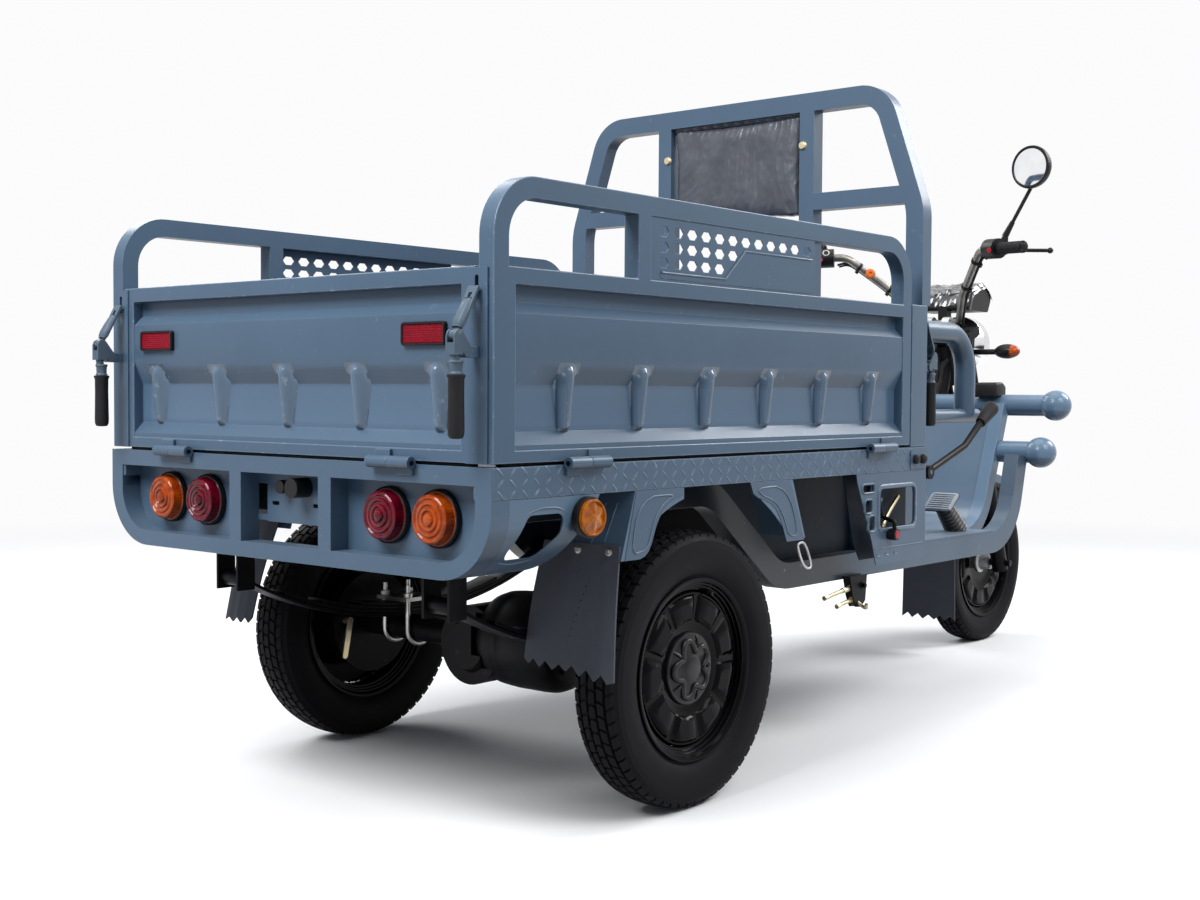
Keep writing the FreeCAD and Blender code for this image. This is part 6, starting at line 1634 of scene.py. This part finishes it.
gearTrim = {
    "rods": [[(1170, -366, 306), (1292, -366, 321)], [(1222, -366, 283), (1318, -366, 297)]],
    "nuts": [(0.62, 0.92, 0.0066), (0.0, 0.12, 0.0058)],  # start and end along the rod, radius
    "hook": [(1300, -371, 286), (1304, -384, 276), (1300, -396, 274), (1294, -398, 284)],
    "plate": [(1262, 345), (1336, 345), (1330, 288), (1312, 274), (1290, 276), (1276, 300)],
    "plateSides": [(-360, -356.5), (-375, -371.5)], "bolt": (1316, -375, 322),
    "box": [(2236, 738), (2302, 738), (2304, 768), (2284, 780), (2240, 777)], "boxSides": (-250, -182),
}


def makeGearTrim():
    rods = []
    for path in gearTrim["rods"]:
        start, end = (at(*p) for p in path)
        rods.append(roundRod([start, start.lerp(end, 0.5), end], 0.0046))
        for a, b, radius in gearTrim["nuts"]:
            rods.append(roundRod([start.lerp(end, a), start.lerp(end, b)], radius, 6))
    rods.append(roundRod(smoothed([at(*p) for p in gearTrim["hook"]]), 0.0042, 10))
    addPiece("brake_rods", joined(rods), "chassis", "zincGold", sharp=40)
    bracket = [plateXZ(gearTrim["plate"], *sides) for sides in gearTrim["plateSides"]]
    bracket.append(hexBolt(at(*gearTrim["bolt"]), (0, -1, 0), 0.012))
    addPiece("rod_bracket", joined(bracket), "chassis", "darkSteel", sharp=30)
    box = meshOf(plateXZ(gearTrim["box"], *gearTrim["boxSides"]))
    rounded(box, 0.006, 3, 0)
    addPiece("socket_box", box, "chassis", "blackPlastic", sharp=40)


makeGearTrim()


# Cables clipped to their tubes, plugs, rocker switch

cable = {
    "bar": [(2204, 232, 1118), (2222, 214, 1125), (2240, 197, 1112), (2333, 111, 1024),
            (2386, 74, 948), (2398, 66, 930)],
    "radius": 0.0034, "clips": [(2243, 183, 1112), (2310, 121, 1049)],
    "tube": ((2215, 209, 1139), (2328, 104, 1032)),  # straight run of the handlebar
    "disc": (2262, 160, 1091), "discWay": (-0.77, -0.64, 0.1),
    "discOutline": [(0.004, 0.004), (0.004, 0.0065), (0.0065, 0.0075), (0.0125, 0.006), (0.0145, 0.003),
                    (0.014, -0.001), (0.006, -0.003)],
    "plug": [(0.0104, 0.0), (0.0108, 0.0012), (0.009, 0.0026), (0.003, 0.003)],
    "neck": [(2270, 500), (2273, 550), (2293, 600), (2310, 650), (2331, 700), (2352, 745), (2367, 788),
             (2378, 822), (2396, 848)],
    "strands": 6, "loomHalf": 20,  # tied along the neck tube, ends inside it
}
rocker = {"way": (-0.883, -0.469, 0.021), "reach": 0.027,
          "ring": [(0.0098, -0.003), (0.0098, 0.0012), (0.0086, 0.0022), (0.0072, 0.0012), (0.0072, -0.003)],
          "key": [(0.007, -0.003), (0.007, 0.001), (0.005, 0.0026), (0.002, 0.0022), (0.0005, 0.0018)]}


def makeBarCables(side):
    name, radius = sideName(side), cable["radius"]
    first = [at(x, side * y, z) for x, y, z in cable["bar"]]
    second = [at(x + 6, side * (y - 2), z - 5) for x, y, z in cable["bar"]]
    lines = [roundRod(smoothed(first, 3), radius, 10), roundRod(smoothed(second, 3), radius * 0.8, 10)]
    start, end = (at(x, side * y, z) for x, y, z in cable["tube"])
    run = (end - start).normalized()
    for x, y, z in cable["clips"]:
        lines.append(moved(collar(0.0112, 0.0134, 0.004, 28), facing(at(x, side * y, z), run)))
        lines.append(moved(collar(0.0036, 0.0072, 0.004, 20), facing(at(x + 5, side * (y + 9), z - 11), run)))
    addPiece("bar_cables_" + name, joined(lines), "steering", "gripRubber", sharp=50)
    end = alongGrip(bar["grip"][1] + 3.5, side)
    plug = moved(turned(cable["plug"], 28), facing(end, end - alongGrip(0, side)))
    addPiece("bar_plug_" + name, plug, "steering", "gripRubber", sharp=50)


def makeSwitches():
    look = Vector(cable["discWay"])
    disc = moved(turned(cable["discOutline"], 32), facing(at(*cable["disc"]) + look * 0.013, look))
    addPiece("cable_clip", disc, "steering", "orangePlastic", sharp=45)
    spot = (Vector(rocker["way"]) * 0.86 + Vector((0, 0, 0.5))).normalized()
    stand = facing(at(*bar["pod"]) + spot * rocker["reach"], spot)
    ring, key = turned(rocker["ring"], 36, True), turned(rocker["key"], 36)
    addPiece("rocker_ring", moved(ring, stand), "steering", "whitePlastic", sharp=40)
    addPiece("rocker", moved(key, stand), "steering", "blackPlastic", sharp=40)


def makeLoom():
    strands, count, half = [], cable["strands"], cable["loomHalf"]
    for n in range(count):
        pick = random.Random(n)
        y = -half + 2 * half * n / (count - 1)
        path = [at(x + pick.uniform(-8, 5), y + pick.uniform(-6, 6), z + pick.uniform(-8, 8))
                for x, z in cable["neck"]]
        strands.append(roundRod(smoothed(path, 3), pick.uniform(0.0035, 0.0065), 10))
    addPiece("neck_loom", joined(strands), "chassis", "gripRubber", sharp=60)


for side in bothSides:
    makeBarCables(side)
makeSwitches()
makeLoom()


# Tuck of the film along the top of the backrest

tuck = {"half": 182, "step": 7, "behind": 0.006, "lift": 0.001, "sway": 0.0015, "radius": 0.012}


def makeTuck():
    low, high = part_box("backrest_pad")
    x = (low.x + high.x) / 2 - tuck["behind"]
    line = [Vector((x + tuck["sway"] * math.sin(y * 0.21), y / 1000, high.z + tuck["lift"]))
            for y in range(-tuck["half"], tuck["half"] + 1, tuck["step"])]
    addPiece("film_tuck", roundRod(line, tuck["radius"]), "chassis", "filmVinyl", sharp=60)


makeTuck()
print("trim made")
